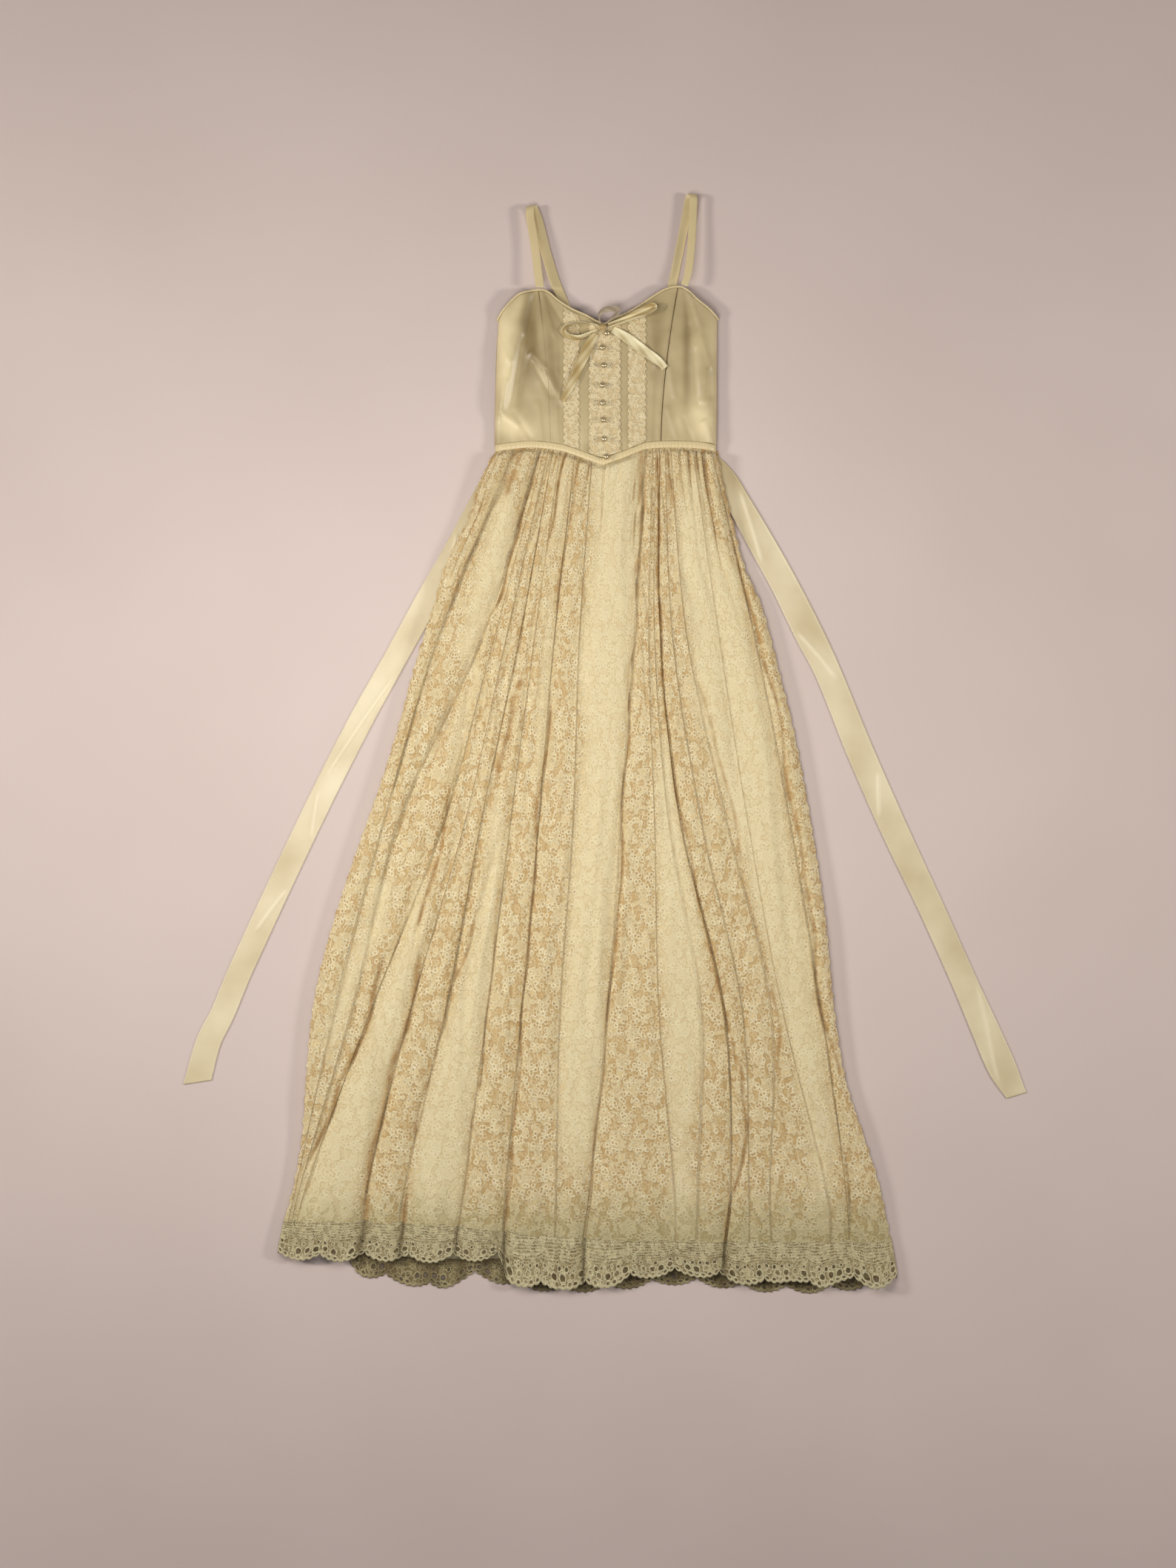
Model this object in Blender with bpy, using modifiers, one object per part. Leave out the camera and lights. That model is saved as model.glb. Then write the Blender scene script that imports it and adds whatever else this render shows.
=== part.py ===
"""Wedding dress laid flat, face up: satin bodice, gathered lace skirt, two sash ties.

Lengths are in millimetres in the tables and functions, and in metres in the meshes.
x runs to the right of the centre front, rise runs from the waist seam up to the neck,
and drop runs from the waist seam down to the hem. z is the height above the floor.
"""
import math

import bmesh
import bpy
from mathutils import Vector

MM = 0.001

# The frame's origin, under the middle of the whole dress, from the waist at the centre front
ORIGIN_X = 2.06
ORIGIN_DROP = 386.56

# Cloth
SEAM_GAP = 0.4
BACK_CLOTH = 1.4
LACE_CLOTH = 1.3
SATIN_CLOTH = 1.4
LINING_CLOTH = 1.2
RIBBON_CLOTH = 1.0
LINING_TOP = 3.0
EDGE_TOP = 2.8
VALLEY_TOP = 4.9

# Skirt outline: one row for each level below the waist
SKIRT_OUTLINE = (
    # drop, left, right
    (0, -141, 149),
    (20, -152, 152),
    (50, -165, 158),
    (90, -178, 168),
    (155, -209, 185),
    (200, -221, 205),
    (240, -234, 217),
    (300, -252, 232),
    (350, -265, 245),
    (435, -291, 262),
    (540, -328, 280),
    (620, -354, 291),
    (695, -374, 298),
    (750, -383, 304),
    (830, -390, 318),
    (900, -395, 341),
    (960, -405, 360),
    (1020, -421, 373),
    (1060, -429, 382),
    (1100, -434, 387),
)

# How far the back skirt's edges stay inside the outline, clear of the ties at the side seams
BACK_TUCK = (
    # drop, left, right
    (5, 18, 14),
    (25, 27, 18),
    (58, 37, 10),
    (100, 27, 2),
    (133, 25, 1),
    (203, 10, 1),
    (240, 1, 1),
    (1110, 1, 1),
)

# Fold lines from left to right: where each lies at six levels, how deep it is
# pressed in, and between which drops it shows
FOLD_LEVELS = (0, 250, 490, 735, 980, 1060)
FOLDS = (
    # name, x at the six levels, depth, from, to
    ("side_left", (-115, -216, -286, -349, -405, -421), 0.95, 0, 420),
    ("diagonal_left", (-81, -159, -267, -327, -400, -414), 0.85, 0, 600),
    ("deep_left", (-76, -143, -208, -304, -393, -407), 0.95, 400, 960),
    ("wide_left", (-71, -127, -181, -252, -311, -318), 0.95, 640, 1100),
    ("brown_left", (-65, -110, -160, -205, -262, -267), 0.75, 60, 1100),
    ("inner_left", (-56, -90, -121, -151, -183, -191), 0.7, 480, 1100),
    ("front_left", (-36, -64, -84, -106, -128, -131), 0.9, 60, 1100),
    ("pale_left", (-14, -31, -39, -56, -61, -63), 0.35, 0, 1000),
    ("pale_right", (57, 42, 24, 7, -19, -31), 0.7, 0, 1100),
    ("middle_right", (64, 59, 67, 73, 94, 94), 0.4, 380, 1060),
    ("patch_right", (68, 67, 86, 129, 124, 121), 0.4, 640, 1060),
    ("front_right", (73, 75, 101, 159, 167, 157), 1.0, 0, 1100),
    ("inner_right", (80, 91, 129, 182, 191, 191), 0.5, 560, 1000),
    ("band_right", (87, 110, 163, 220, 218, 220), 0.5, 380, 960),
    ("olive_right", (116, 152, 189, 234, 294, 297), 0.4, 120, 900),
    ("side_right", (140, 199, 245, 286, 318, 322), 0.8, 60, 1060),
)
# Height of the cloth between two fold lines, and the cells across it, from left to right
SWELLS = (
    # rise, cells
    (13, 4), (13, 6), (9, 2), (12, 3), (10, 3), (11, 3), (10, 3), (12, 4), (11, 8),
    (9, 2), (9, 2), (9, 2), (11, 2), (9, 3), (10, 4), (10, 4), (13, 4),
)
FOLD_FADE = 70
FAINT_FOLD = 0.15
SWELL_WIDTH = 0.9
SWELL_FULLNESS = 2.4
FOLD_MOUTH = 0.45
GATHER_HEIGHT = 1.2
GATHER_LENGTH = 45
WAIST_LIFT = 6.5
WAIST_LIFT_LENGTH = 55
SIDE_ROLL = 14
SKIRT_ROWS = 17

# Lower edge of the front and back hem lace
FRONT_HEM = (
    # x, drop
    (-430, 1052), (-410, 1056), (-350, 1059), (-310, 1058), (-220, 1060), (-150, 1058),
    (-136, 1060), (-124, 1086), (-60, 1096), (0, 1094), (45, 1083), (100, 1078),
    (150, 1084), (205, 1092), (240, 1085), (270, 1096), (305, 1086), (345, 1094), (386, 1084),
)
BACK_HEM = (
    # x, drop
    (-430, 1049), (-345, 1054), (-312, 1080), (-262, 1090), (-215, 1099), (-168, 1084),
    (-120, 1094), (-60, 1102), (0, 1100), (100, 1092), (200, 1101), (290, 1102),
    (340, 1094), (382, 1080),
)
# Seams between the skirt and its hem lace
FRONT_SEAM = (
    # x, drop
    (-430, 1009), (-300, 1011), (-200, 1015), (-100, 1026), (0, 1033), (150, 1036), (386, 1036),
)
BACK_SEAM = (
    # x, drop
    (-430, 1003), (-340, 1012), (-260, 1036), (-150, 1043), (0, 1044), (382, 1040),
)
SCALLOPS = 14
SCALLOP_CELLS = 6
SCALLOP_NOTCH = 10
BORDER_ROWS = 5
EYELET_RADIUS = 4.2
BORDER_CELL = 10.0
HEM_LEVEL = 1040
BACK_COLUMNS = 28
LINING_HEM = (
    # x, drop
    (-430, 1034), (-350, 1040), (-300, 1050), (-250, 1058), (-150, 1059), (382, 1059),
)
LINING_START = 26
LINING_INSET = 14
BACK_ROWS = 12
ROW_CROWDING = 1.8

# Waist seam at the centre of the waistband, dipping to a point at the centre front
WAIST_LINE = (
    # x, rise
    (-143, 0), (-120, 3), (-93, 5), (-57, 1), (-34, -6), (-15, -13), (0, -17), (12, -13),
    (24, -9), (44, -1), (55, 3), (82, 5), (121, 4), (149, 0),
)
WAISTBAND_WIDTH = 8.6
WAISTBAND_ENDS = (-142, 147)
WAISTBAND_CLOTH = 1.8
WAISTBAND_CELLS = 34
WAISTBAND_LIFT = 1.2
WAISTBAND_ROUNDING = 0.9

# Top edge of the front bodice, over both cups and down to the neck point
NECKLINE = (
    # x, rise
    (-138, 166), (-133, 175), (-121, 189), (-111, 198), (-100, 202), (-85, 205), (-73, 202),
    (-61, 192), (-44, 181), (-24, 172), (0, 161), (14, 168), (29, 174), (44, 182), (63, 195),
    (82, 206), (97, 209), (108, 205), (121, 193), (136, 181), (149, 168),
)
BODICE_SIDES = (
    # rise, left, right
    (0, -143, 148),
    (45, -143, 149),
    (90, -142, 149),
    (125, -141, 149),
    (168, -138, 149),
)
# Panels between the seams: where each seam starts at the waist and ends at the top edge
BODICE_PANELS = (
    # name, left at waist, right at waist, left at top, right at top, columns
    ("bodice_side_left", -143, -69, -138, -85, 8),
    ("bodice_centre_front", -69, 75, -85, 97, 15),
    ("bodice_side_right", 75, 148, 97, 149, 8),
)
BODICE_ROWS = 11
PRINCESS_BEND = 1.7
BODICE_CROWN = 13
CUPS = (
    # x, rise, height, width, length
    (-84, 128, 6, 42, 55),
    (94, 130, 6, 42, 55),
)
# Largest folds of the bodice: a ridge, or a trough if its height is below zero
BODICE_FOLDS = (
    # from x, from rise, to x, to rise, height, half width
    (-104, 196, -133, 60, 4.0, 9),
    (-94, 190, -118, 60, -3.0, 8),
    (-112, 158, -78, 92, 1.6, 10),
    (114, 150, 118, 45, -2.6, 10),
    (137, 60, 143, 10, 2.0, 9),
)
BACK_NECK_RISE = 156
LACE_BANDS = (
    # name, left, right
    ("lace_band_left", -53, -31),
    ("lace_band_centre", -20, 23),
    ("lace_band_right", 31, 56),
)
BAND_CLOTH = 1.0
BAND_LIFT = 0.45
BAND_SHORT_BELOW = 0.5
BAND_SHORT_ABOVE = 2.5
PIPING_RADIUS = 1.4
PIPING_SINK = 0.8

# Straps: front stretch, fold at the tip, back stretch
STRAPS = (
    ("strap_left", (
        # x, rise, z, width, turn of the width in degrees
        (-83, 208.8, 17.5, 11, -3),
        (-85, 225, 16.5, 11, 5),
        (-89, 259, 14.5, 11, 6),
        (-93, 285, 13.0, 11, 7),
        (-96, 303, 12.2, 11, 8),
        (-96, 312, 12.0, 11, 10),
        (-94, 317, 8.8, 11, 12),
        (-91, 312, 5.6, 12, 14),
        (-86, 298, 5.2, 13, 16),
        (-76, 259, 4.4, 13, 16),
        (-64, 220, 3.6, 13, 17),
        (-52, 190, 2.6, 13, 17),
        (-41, 156.4, 0.7, 13, 0),
    )),
    ("strap_right", (
        # x, rise, z, width, turn of the width in degrees
        (105, 211.5, 17.5, 9, -20),
        (110, 228, 16.5, 10, -8),
        (114, 262, 14.5, 10, -5),
        (116, 295, 13.0, 10, -4),
        (117, 318, 12.2, 10, -3),
        (117, 327, 12.0, 10, -4),
        (115, 332, 8.8, 10, -6),
        (112, 327, 5.6, 11, -8),
        (109, 310, 5.2, 11, -10),
        (104, 284, 4.4, 11, -11),
        (95, 239, 3.6, 11, -12),
        (87, 200, 2.6, 11, -12),
        (78, 156.4, 0.7, 11, 0),
    )),
)
STRAP_CELLS = 26

# Sash ties along their centre lines, each lifted a little where it leaves the side seam
SASHES = (
    ("sash_left", 0.0, (
        # x, drop, width
        (-135, 7, 12), (-147, 40, 26), (-190, 126, 31), (-230, 196, 31), (-274, 276, 30),
        (-320, 359, 31), (-382, 482, 31), (-474, 679, 31), (-500, 741, 31), (-517, 775, 32),
        (-532, 829, 34),
    )),
    ("sash_right", 0.7, (
        # x, drop, width
        (142, 9, 12), (159, 36, 26), (176, 68, 31), (206, 121, 34), (236, 175, 35),
        (268, 239, 37), (294, 292, 34), (335, 393, 35), (382, 500, 35), (429, 600, 33),
        (472, 696, 33), (500, 760, 36), (522, 810, 37), (541, 846, 26),
    )),
)
SASH_ROOT = 160
SASH_CELLS = 30
SASH_CLOTH = 1.3

# Pearl buttons down the centre front
PEARL_RADIUS = 4.0
PEARL_HEIGHT = 3.4
ROUND_STEPS = (10, 6)
PEARLS = (
    # x, rise
    (4, 149), (-2, 130), (0, 107), (-2, 81), (-2, 58), (-1, 36), (0, 11), (3, -12),
)

# Ribbon bow at the neck point. A loop stands on its edge and a tail lies flat.
BOW_KNOT = (-1, 157, 5.0, 3.8, 2.6)
BOW_LIFT = 1.9
BOW_TOP_RISE = 170
BOW_LOOP_CELLS = 22
BOW_TAIL_CELLS = 12
BOW_LOOPS = (
    ("bow_loop_right", 6, (
        # x, rise
        (6, 161), (22, 168), (40, 176), (55, 183), (64, 186), (67, 182), (60, 176),
        (44, 171), (27, 165), (7, 157),
    )),
    ("bow_loop_left", 7, (
        # x, rise
        (-8, 160), (-20, 162), (-36, 162), (-48, 158), (-52, 151), (-46, 145), (-34, 143),
        (-22, 147), (-9, 154),
    )),
    ("bow_loop_back", 6, (
        # x, rise
        (-3.5, 160.8), (-6, 171), (-2, 178), (8, 181), (18, 180), (17, 173), (9, 167), (1.5, 160.8),
    )),
)
BOW_TAILS = (
    ("bow_tail_right", (
        # x, rise, width
        (14, 153, 7), (29, 144, 12), (44, 133, 13), (58, 122, 12), (69, 114, 8), (76, 107, 6),
        (80, 102, 6),
    )),
    ("bow_tail_left", (
        # x, rise, width
        (-12, 148, 7), (-18, 136, 14), (-25, 121, 17), (-33, 104, 15), (-41, 86, 12),
        (-48, 71, 9), (-53, 60, 7),
    )),
)
TAIL_LIFT = 2.9

IVORY_SATIN = (0.72, 0.61, 0.42)
IVORY_LACE = (0.76, 0.66, 0.45)
PALE_LINING = (0.82, 0.75, 0.54)
HEM_LACE = (0.60, 0.53, 0.37)
SASH_SATIN = (0.86, 0.79, 0.60)
RIBBON = (0.84, 0.72, 0.55)
PEARL = (0.80, 0.74, 0.62)


def mix(low, high, share):
    """Value a share of the way from low to high."""
    return low + (high - low) * share


def ease(share):
    """Smooth step from 0 to 1."""
    share = min(max(share, 0.0), 1.0)
    return share * share * (3.0 - 2.0 * share)


def along(stations, values, place):
    """Value at a place on a smooth curve through the values, straight past both ends."""
    last = len(stations) - 1
    slopes = []
    for i in range(last + 1):
        low = max(i - 1, 0)
        high = min(i + 1, last)
        slopes.append((values[high] - values[low]) / (stations[high] - stations[low]))
    if place <= stations[0]:
        return values[0] + slopes[0] * (place - stations[0])
    if place >= stations[last]:
        return values[last] + slopes[last] * (place - stations[last])
    i = max(k for k in range(last) if stations[k] <= place)
    span = stations[i + 1] - stations[i]
    t = (place - stations[i]) / span
    start = values[i] * (1 + 2 * t) * (1 - t) ** 2 + slopes[i] * span * t * (1 - t) ** 2
    end = values[i + 1] * t * t * (3 - 2 * t) + slopes[i + 1] * span * t * t * (t - 1)
    return start + end


def column(rows, number):
    """One column of a table."""
    return [row[number] for row in rows]


def read(rows, number, place):
    """A table's column at a place along its first column."""
    return along(column(rows, 0), column(rows, number), place)


def at_rest(x, rise, z):
    """A point of the dress in the frame, in metres."""
    return Vector((x - ORIGIN_X, rise + ORIGIN_DROP, z)) * MM


def net(columns, rows, place):
    """A net of cloth cells over the unit square, each knot moved to place(across, up)."""
    cloth = bmesh.new()
    bmesh.ops.create_grid(cloth, x_segments=columns, y_segments=rows, size=0.5)
    for knot in cloth.verts:
        knot.co = at_rest(*place(knot.co.x + 0.5, knot.co.y + 0.5))
    return cloth


def finish(name, colour, roughness):
    """The piece's own material."""
    material = bpy.data.materials.new(name)
    material.use_nodes = True
    shader = material.node_tree.nodes["Principled BSDF"]
    shader.inputs["Base Color"].default_value = (*colour, 1.0)
    shader.inputs["Roughness"].default_value = roughness
    shader.inputs["Metallic"].default_value = 0.0
    return material


def sew(name, cloth, thickness, colour, roughness=0.7, offset=-1.0):
    """A named wall of cloth: the net is its outer face, or its middle if offset is 0."""
    mesh = bpy.data.meshes.new(name)
    cloth.to_mesh(mesh)
    cloth.free()
    piece = bpy.data.objects.new(name, mesh)
    dress.objects.link(piece)
    piece.data.materials.append(finish(name, colour, roughness))
    piece.data.shade_smooth()
    wall = piece.modifiers.new("wall", "SOLIDIFY")
    wall.thickness = thickness * MM
    wall.offset = offset
    return piece


def fold_places(drop):
    """Where the skirt's two edges and all fold lines lie at one level."""
    places = [read(SKIRT_OUTLINE, 1, drop)]
    places += [along(FOLD_LEVELS, levels, drop) for levels in column(FOLDS, 1)]
    places.append(read(SKIRT_OUTLINE, 2, drop))
    return places


def fold_depths(drop):
    """How far each fold line is pressed in at one level, from 0 to 1."""
    depths = [0.0]
    for depth, start, stop in [row[2:] for row in FOLDS]:
        shown = ease((drop - start) / FOLD_FADE + 1.0) * ease((stop - drop) / FOLD_FADE + 1.0)
        depths.append(depth * max(shown, FAINT_FOLD))
    depths.append(0.0)
    return depths


def swell_heights(places):
    """Height of the cloth between neighbouring fold lines, less where they crowd together."""
    heights = []
    for rise, left, right in zip(column(SWELLS, 0), places, places[1:]):
        width = max(right - left, SEAM_GAP)
        heights.append(rise * (1.0 - math.exp(-width / (SWELL_WIDTH * rise))))
    return heights


def skirt_height(x, drop):
    """Height of the front skirt's outer face."""
    places = fold_places(drop)
    depths = fold_depths(drop)
    heights = swell_heights(places)
    x = min(max(x, places[0]), places[-1])
    i = max(k for k in range(len(SWELLS)) if places[k] <= x)
    share = (x - places[i]) / (places[i + 1] - places[i])
    ends = []
    for k in (i, i + 1):
        if k in (0, len(SWELLS)):
            ends.append(EDGE_TOP)
        else:
            shallow = (1 - depths[k]) * FOLD_MOUTH
            ends.append(VALLEY_TOP + shallow * (heights[k - 1] + heights[k]))
    bulge = 1.0 - abs(2.0 * share - 1.0) ** SWELL_FULLNESS
    height = mix(mix(ends[0], ends[1], share), VALLEY_TOP + heights[i], bulge)
    reach = min(x - places[0], places[-1] - x)
    lift = WAIST_LIFT * math.exp(-max(drop, 0.0) / WAIST_LIFT_LENGTH)
    return height + lift * ease(reach / SIDE_ROLL)


def skirt_front():
    """Gathered lace front of the skirt."""
    cells = column(SWELLS, 1)
    total = sum(cells)

    def place(across, up):
        knot = round(across * total)
        swell = 0
        start = 0
        while swell < len(cells) - 1 and start + cells[swell] <= knot:
            start += cells[swell]
            swell += 1
        share = (knot - start) / cells[swell]
        hem_places = fold_places(HEM_LEVEL)
        hem_x = mix(hem_places[swell], hem_places[swell + 1], share)
        waist_places = fold_places(0)
        waist_x = mix(waist_places[swell], waist_places[swell + 1], share)
        top = -read(WAIST_LINE, 1, waist_x) + WAISTBAND_WIDTH / 2 + SEAM_GAP
        drop = mix(read(FRONT_SEAM, 1, hem_x), top, up)
        places = fold_places(drop)
        x = mix(places[swell], places[swell + 1], share)
        z = skirt_height(x, drop)
        if 0 < knot < total:
            z += GATHER_HEIGHT * (-1) ** knot * math.exp(-max(drop, 0) / GATHER_LENGTH)
        return x, -drop, z

    sew("skirt_front_lace", net(total, SKIRT_ROWS, place), LACE_CLOTH, IVORY_LACE)


def skirt_lining():
    """Pale lining of the front skirt, seen through the lace and at its own hem."""
    columns = 10

    def place(across, up):
        hem = read(LINING_HEM, 1, mix(*back_edges(HEM_LEVEL), across))
        drop = mix(LINING_START, hem, (1 - up) ** ROW_CROWDING)
        left, right = back_edges(drop)
        return mix(left + LINING_INSET, right - LINING_INSET, across), -drop, LINING_TOP

    sew("skirt_front_lining", net(columns, BACK_ROWS, place), LINING_CLOTH, PALE_LINING)


def front_edges(drop):
    """Left and right edge of the front skirt at one level."""
    return read(SKIRT_OUTLINE, 1, drop), read(SKIRT_OUTLINE, 2, drop)


def back_edges(drop):
    """Left and right edge of the back skirt at one level."""
    left, right = front_edges(drop)
    return left + read(BACK_TUCK, 1, drop), right - read(BACK_TUCK, 2, drop)


def seam_knot(edges, seam, across):
    """Point of the seam above the hem lace, a share of the way across the skirt."""
    drop = read(seam, 1, mix(*edges(HEM_LEVEL), across))
    return mix(*edges(drop), across), drop


def back_seam_point(across):
    """Point on the straight stitches between the back skirt's own seam knots."""
    stitch = min(int(across * BACK_COLUMNS + 0.001), BACK_COLUMNS - 1)
    start_x, start_drop = seam_knot(back_edges, BACK_SEAM, stitch / BACK_COLUMNS)
    stop_x, stop_drop = seam_knot(back_edges, BACK_SEAM, (stitch + 1) / BACK_COLUMNS)
    share = across * BACK_COLUMNS - stitch
    return mix(start_x, stop_x, share), mix(start_drop, stop_drop, share)


def front_seam_point(across):
    """Point of the front skirt's seam."""
    return seam_knot(front_edges, FRONT_SEAM, across)


def skirt_back():
    """Lace back of the skirt, flat on the floor, its rows closer together near the waist."""

    def place(across, up):
        seam_drop = seam_knot(back_edges, BACK_SEAM, across)[1]
        drop = mix(WAISTBAND_WIDTH / 2 + SEAM_GAP, seam_drop, (1 - up) ** ROW_CROWDING)
        return mix(*back_edges(drop), across), -drop, BACK_CLOTH

    sew("skirt_back_lace", net(BACK_COLUMNS, BACK_ROWS, place), BACK_CLOTH, IVORY_LACE)


def hem_lace(name, seam_point, edges, hem, height, phase):
    """Scalloped lace border with an eyelet in each scallop, sewn under the skirt's edge."""
    columns = SCALLOPS * SCALLOP_CELLS
    cloth = bmesh.new()
    bmesh.ops.create_grid(cloth, x_segments=columns, y_segments=BORDER_ROWS, size=0.5)
    for knot in cloth.verts:
        knot.co.x = (knot.co.x + 0.5) * columns * BORDER_CELL
        knot.co.y = (knot.co.y + 0.5) * BORDER_ROWS * BORDER_CELL
    eyelets = []
    for knot in cloth.verts:
        number = round(knot.co.x / BORDER_CELL)
        in_scallop = (number + phase) % SCALLOP_CELLS == SCALLOP_CELLS // 2
        if in_scallop and 0 < number < columns and round(knot.co.y / BORDER_CELL) == 1:
            eyelets.append(knot)
    made = bmesh.ops.bevel(
        cloth, geom=eyelets, offset=EYELET_RADIUS, offset_type="OFFSET", segments=2,
        profile=0.5, affect="VERTICES", material=-1,
    )
    bmesh.ops.delete(cloth, geom=made["faces"], context="FACES_ONLY")
    for knot in cloth.verts:
        across = knot.co.x / (columns * BORDER_CELL)
        up = knot.co.y / (BORDER_ROWS * BORDER_CELL)
        seam_x, seam_drop = seam_point(min(max(across, 0.0), 1.0))
        level_x = mix(*edges(HEM_LEVEL), across)
        wave = abs(math.sin(math.pi * (knot.co.x / BORDER_CELL + phase) / SCALLOP_CELLS))
        bottom = read(hem, 1, level_x) - SCALLOP_NOTCH * (1.0 - wave ** 0.8)
        bottom_x = mix(*edges(bottom), across)
        x = mix(bottom_x, seam_x, up)
        drop = mix(bottom, seam_drop + SEAM_GAP, up)
        knot.co = at_rest(x, -drop, height(x, drop))
    sew(name, cloth, LACE_CLOTH, HEM_LACE)


def bodice_height(x, rise):
    """Height of the front bodice's outer face: rolled sides, soft cups and its main folds."""
    left = read(BODICE_SIDES, 1, rise)
    right = read(BODICE_SIDES, 2, rise)
    reach = min(max(min(x - left, right - x) - SEAM_GAP, 0.0), SIDE_ROLL) / SIDE_ROLL
    roll = math.sqrt(1.0 - (1.0 - reach) ** 2)
    height = BODICE_CROWN
    for cup_x, cup_rise, swell, width, length in CUPS:
        height += swell * math.exp(-((x - cup_x) / width) ** 2 - ((rise - cup_rise) / length) ** 2)
    for x1, rise1, x2, rise2, swell, half_width in BODICE_FOLDS:
        run = Vector((x2 - x1, rise2 - rise1))
        offset = Vector((x - x1, rise - rise1))
        share = offset.dot(run) / run.length_squared
        away = abs(offset.x * run.y - offset.y * run.x) / run.length
        ends = ease(share * 5 + 1) * ease((1 - share) * 5 + 1)
        height += swell * ends * math.exp(-(away / half_width) ** 2)
    return EDGE_TOP + (height - EDGE_TOP) * roll


def bodice_bottom(x):
    """Lower edge of the bodice, just above the waistband."""
    return read(WAIST_LINE, 1, x) + WAISTBAND_WIDTH / 2 + SEAM_GAP


def bodice_panel(name, left_low, right_low, left_top, right_top, columns):
    """One satin panel of the front bodice between two seams."""
    half_gap = SEAM_GAP / 2

    def place(across, up):
        low_x = mix(left_low + half_gap, right_low - half_gap, across)
        top_x = mix(left_top + half_gap, right_top - half_gap, across)
        x = mix(low_x, top_x, up ** PRINCESS_BEND)
        rise = mix(bodice_bottom(low_x), read(NECKLINE, 1, top_x), up)
        return x, rise, bodice_height(x, rise)

    sew(name, net(columns, BODICE_ROWS, place), SATIN_CLOTH, IVORY_SATIN, 0.45)


def bodice_back():
    """Satin back of the bodice, flat on the floor."""

    def place(across, up):
        rise = mix(WAISTBAND_WIDTH / 2 + SEAM_GAP, BACK_NECK_RISE, up)
        left = read(BODICE_SIDES, 1, rise) + SEAM_GAP
        right = read(BODICE_SIDES, 2, rise) - SEAM_GAP
        return mix(left, right, across), rise, BACK_CLOTH

    sew("bodice_back", net(8, 6, place), BACK_CLOTH, IVORY_SATIN, 0.45)


def lace_band(name, left, right):
    """Lace insertion laid on the centre front, from the neckline to the waist."""
    columns = 4
    rows = 12

    def place(across, up):
        x = mix(left, right, across)
        top = read(NECKLINE, 1, x) - BAND_SHORT_ABOVE
        rise = mix(bodice_bottom(x) + BAND_SHORT_BELOW, top, up)
        return x, rise, bodice_height(x, rise) + BAND_LIFT + BAND_CLOTH

    sew(name, net(columns, rows, place), BAND_CLOTH, IVORY_LACE)


def waistbands():
    """Piped waistband: a front strip with a dipped centre, and a flat back strip."""
    left, right = WAISTBAND_ENDS

    def front_place(across, up):
        x = mix(left, right, across)
        rise = read(WAIST_LINE, 1, x) + (up - 0.5) * WAISTBAND_WIDTH
        lift = WAISTBAND_LIFT - WAISTBAND_ROUNDING * (2 * up - 1) ** 2
        return x, rise, bodice_height(x, 0) + lift

    cloth = net(WAISTBAND_CELLS, 2, front_place)
    sew("waistband_front", cloth, WAISTBAND_CLOTH, RIBBON, 0.5)

    def back_place(across, up):
        x = mix(left, right, across)
        return x, (up - 0.5) * WAISTBAND_WIDTH, BACK_CLOTH

    sew("waistband_back", net(8, 1, back_place), BACK_CLOTH, RIBBON, 0.5)


def neck_piping():
    """Satin piping along the neckline and both armholes."""
    knots = [NECKLINE[0][0] + SEAM_GAP]
    for left_top, right_top, columns in [row[3:] for row in BODICE_PANELS]:
        knots += [mix(left_top, right_top, (step + 1) / columns) for step in range(columns)]
    line = []
    for x in knots:
        rise = read(NECKLINE, 1, x)
        slope = (read(NECKLINE, 1, x + 1) - read(NECKLINE, 1, x - 1)) / 2
        out = Vector((-slope, 1)).normalized() * (PIPING_RADIUS + SEAM_GAP)
        z = bodice_height(x, rise) - PIPING_SINK
        line.append(at_rest(x + out.x, rise + out.y, z))
    curve = bpy.data.curves.new("neck_piping", "CURVE")
    curve.dimensions = "3D"
    curve.bevel_depth = PIPING_RADIUS * MM
    curve.bevel_resolution = 1
    curve.use_fill_caps = True
    route = curve.splines.new("POLY")
    route.points.add(len(line) - 1)
    for point, place in zip(route.points, line):
        point.co = (*place, 1.0)
    piece = bpy.data.objects.new("neck_piping", curve)
    dress.objects.link(piece)
    curve.materials.append(finish("neck_piping", RIBBON, 0.5))


def strap(name, rows):
    """Satin strap: up from the cup, folded at its tip, and back down to the back neck."""
    stations = [0.0]
    for before, after in zip(rows, rows[1:]):
        stations.append(stations[-1] + math.dist(before[:3], after[:3]))

    def place(across, up):
        run = across * stations[-1]
        x, rise, z, width, turn = (along(stations, column(rows, n), run) for n in range(5))
        half = (0.5 - up) * width
        turn = math.radians(turn)
        return x + half * math.cos(turn), rise + half * math.sin(turn), z

    sew(name, net(STRAP_CELLS, 1, place), SATIN_CLOTH, IVORY_SATIN, 0.45, 0.0)


def strip(name, rows, cells, thickness, colour, height):
    """A flat ribbon along the rows' centre line: x, rise and width, at height(x, rise)."""
    stations = [0.0]
    for before, after in zip(rows, rows[1:]):
        stations.append(stations[-1] + math.dist(before[:2], after[:2]))

    def place(across, up):
        run = across * stations[-1]
        x, rise, width = (along(stations, column(rows, n), run) for n in range(3))
        ahead = Vector([along(stations, column(rows, n), run + 1) for n in (0, 1)])
        side = (ahead - Vector((x, rise))).normalized()
        half = (up - 0.5) * width
        x -= side.y * half
        rise += side.x * half
        return x, rise, height(x, rise)

    sew(name, net(cells, 2, place), thickness, colour, 0.45)


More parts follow.
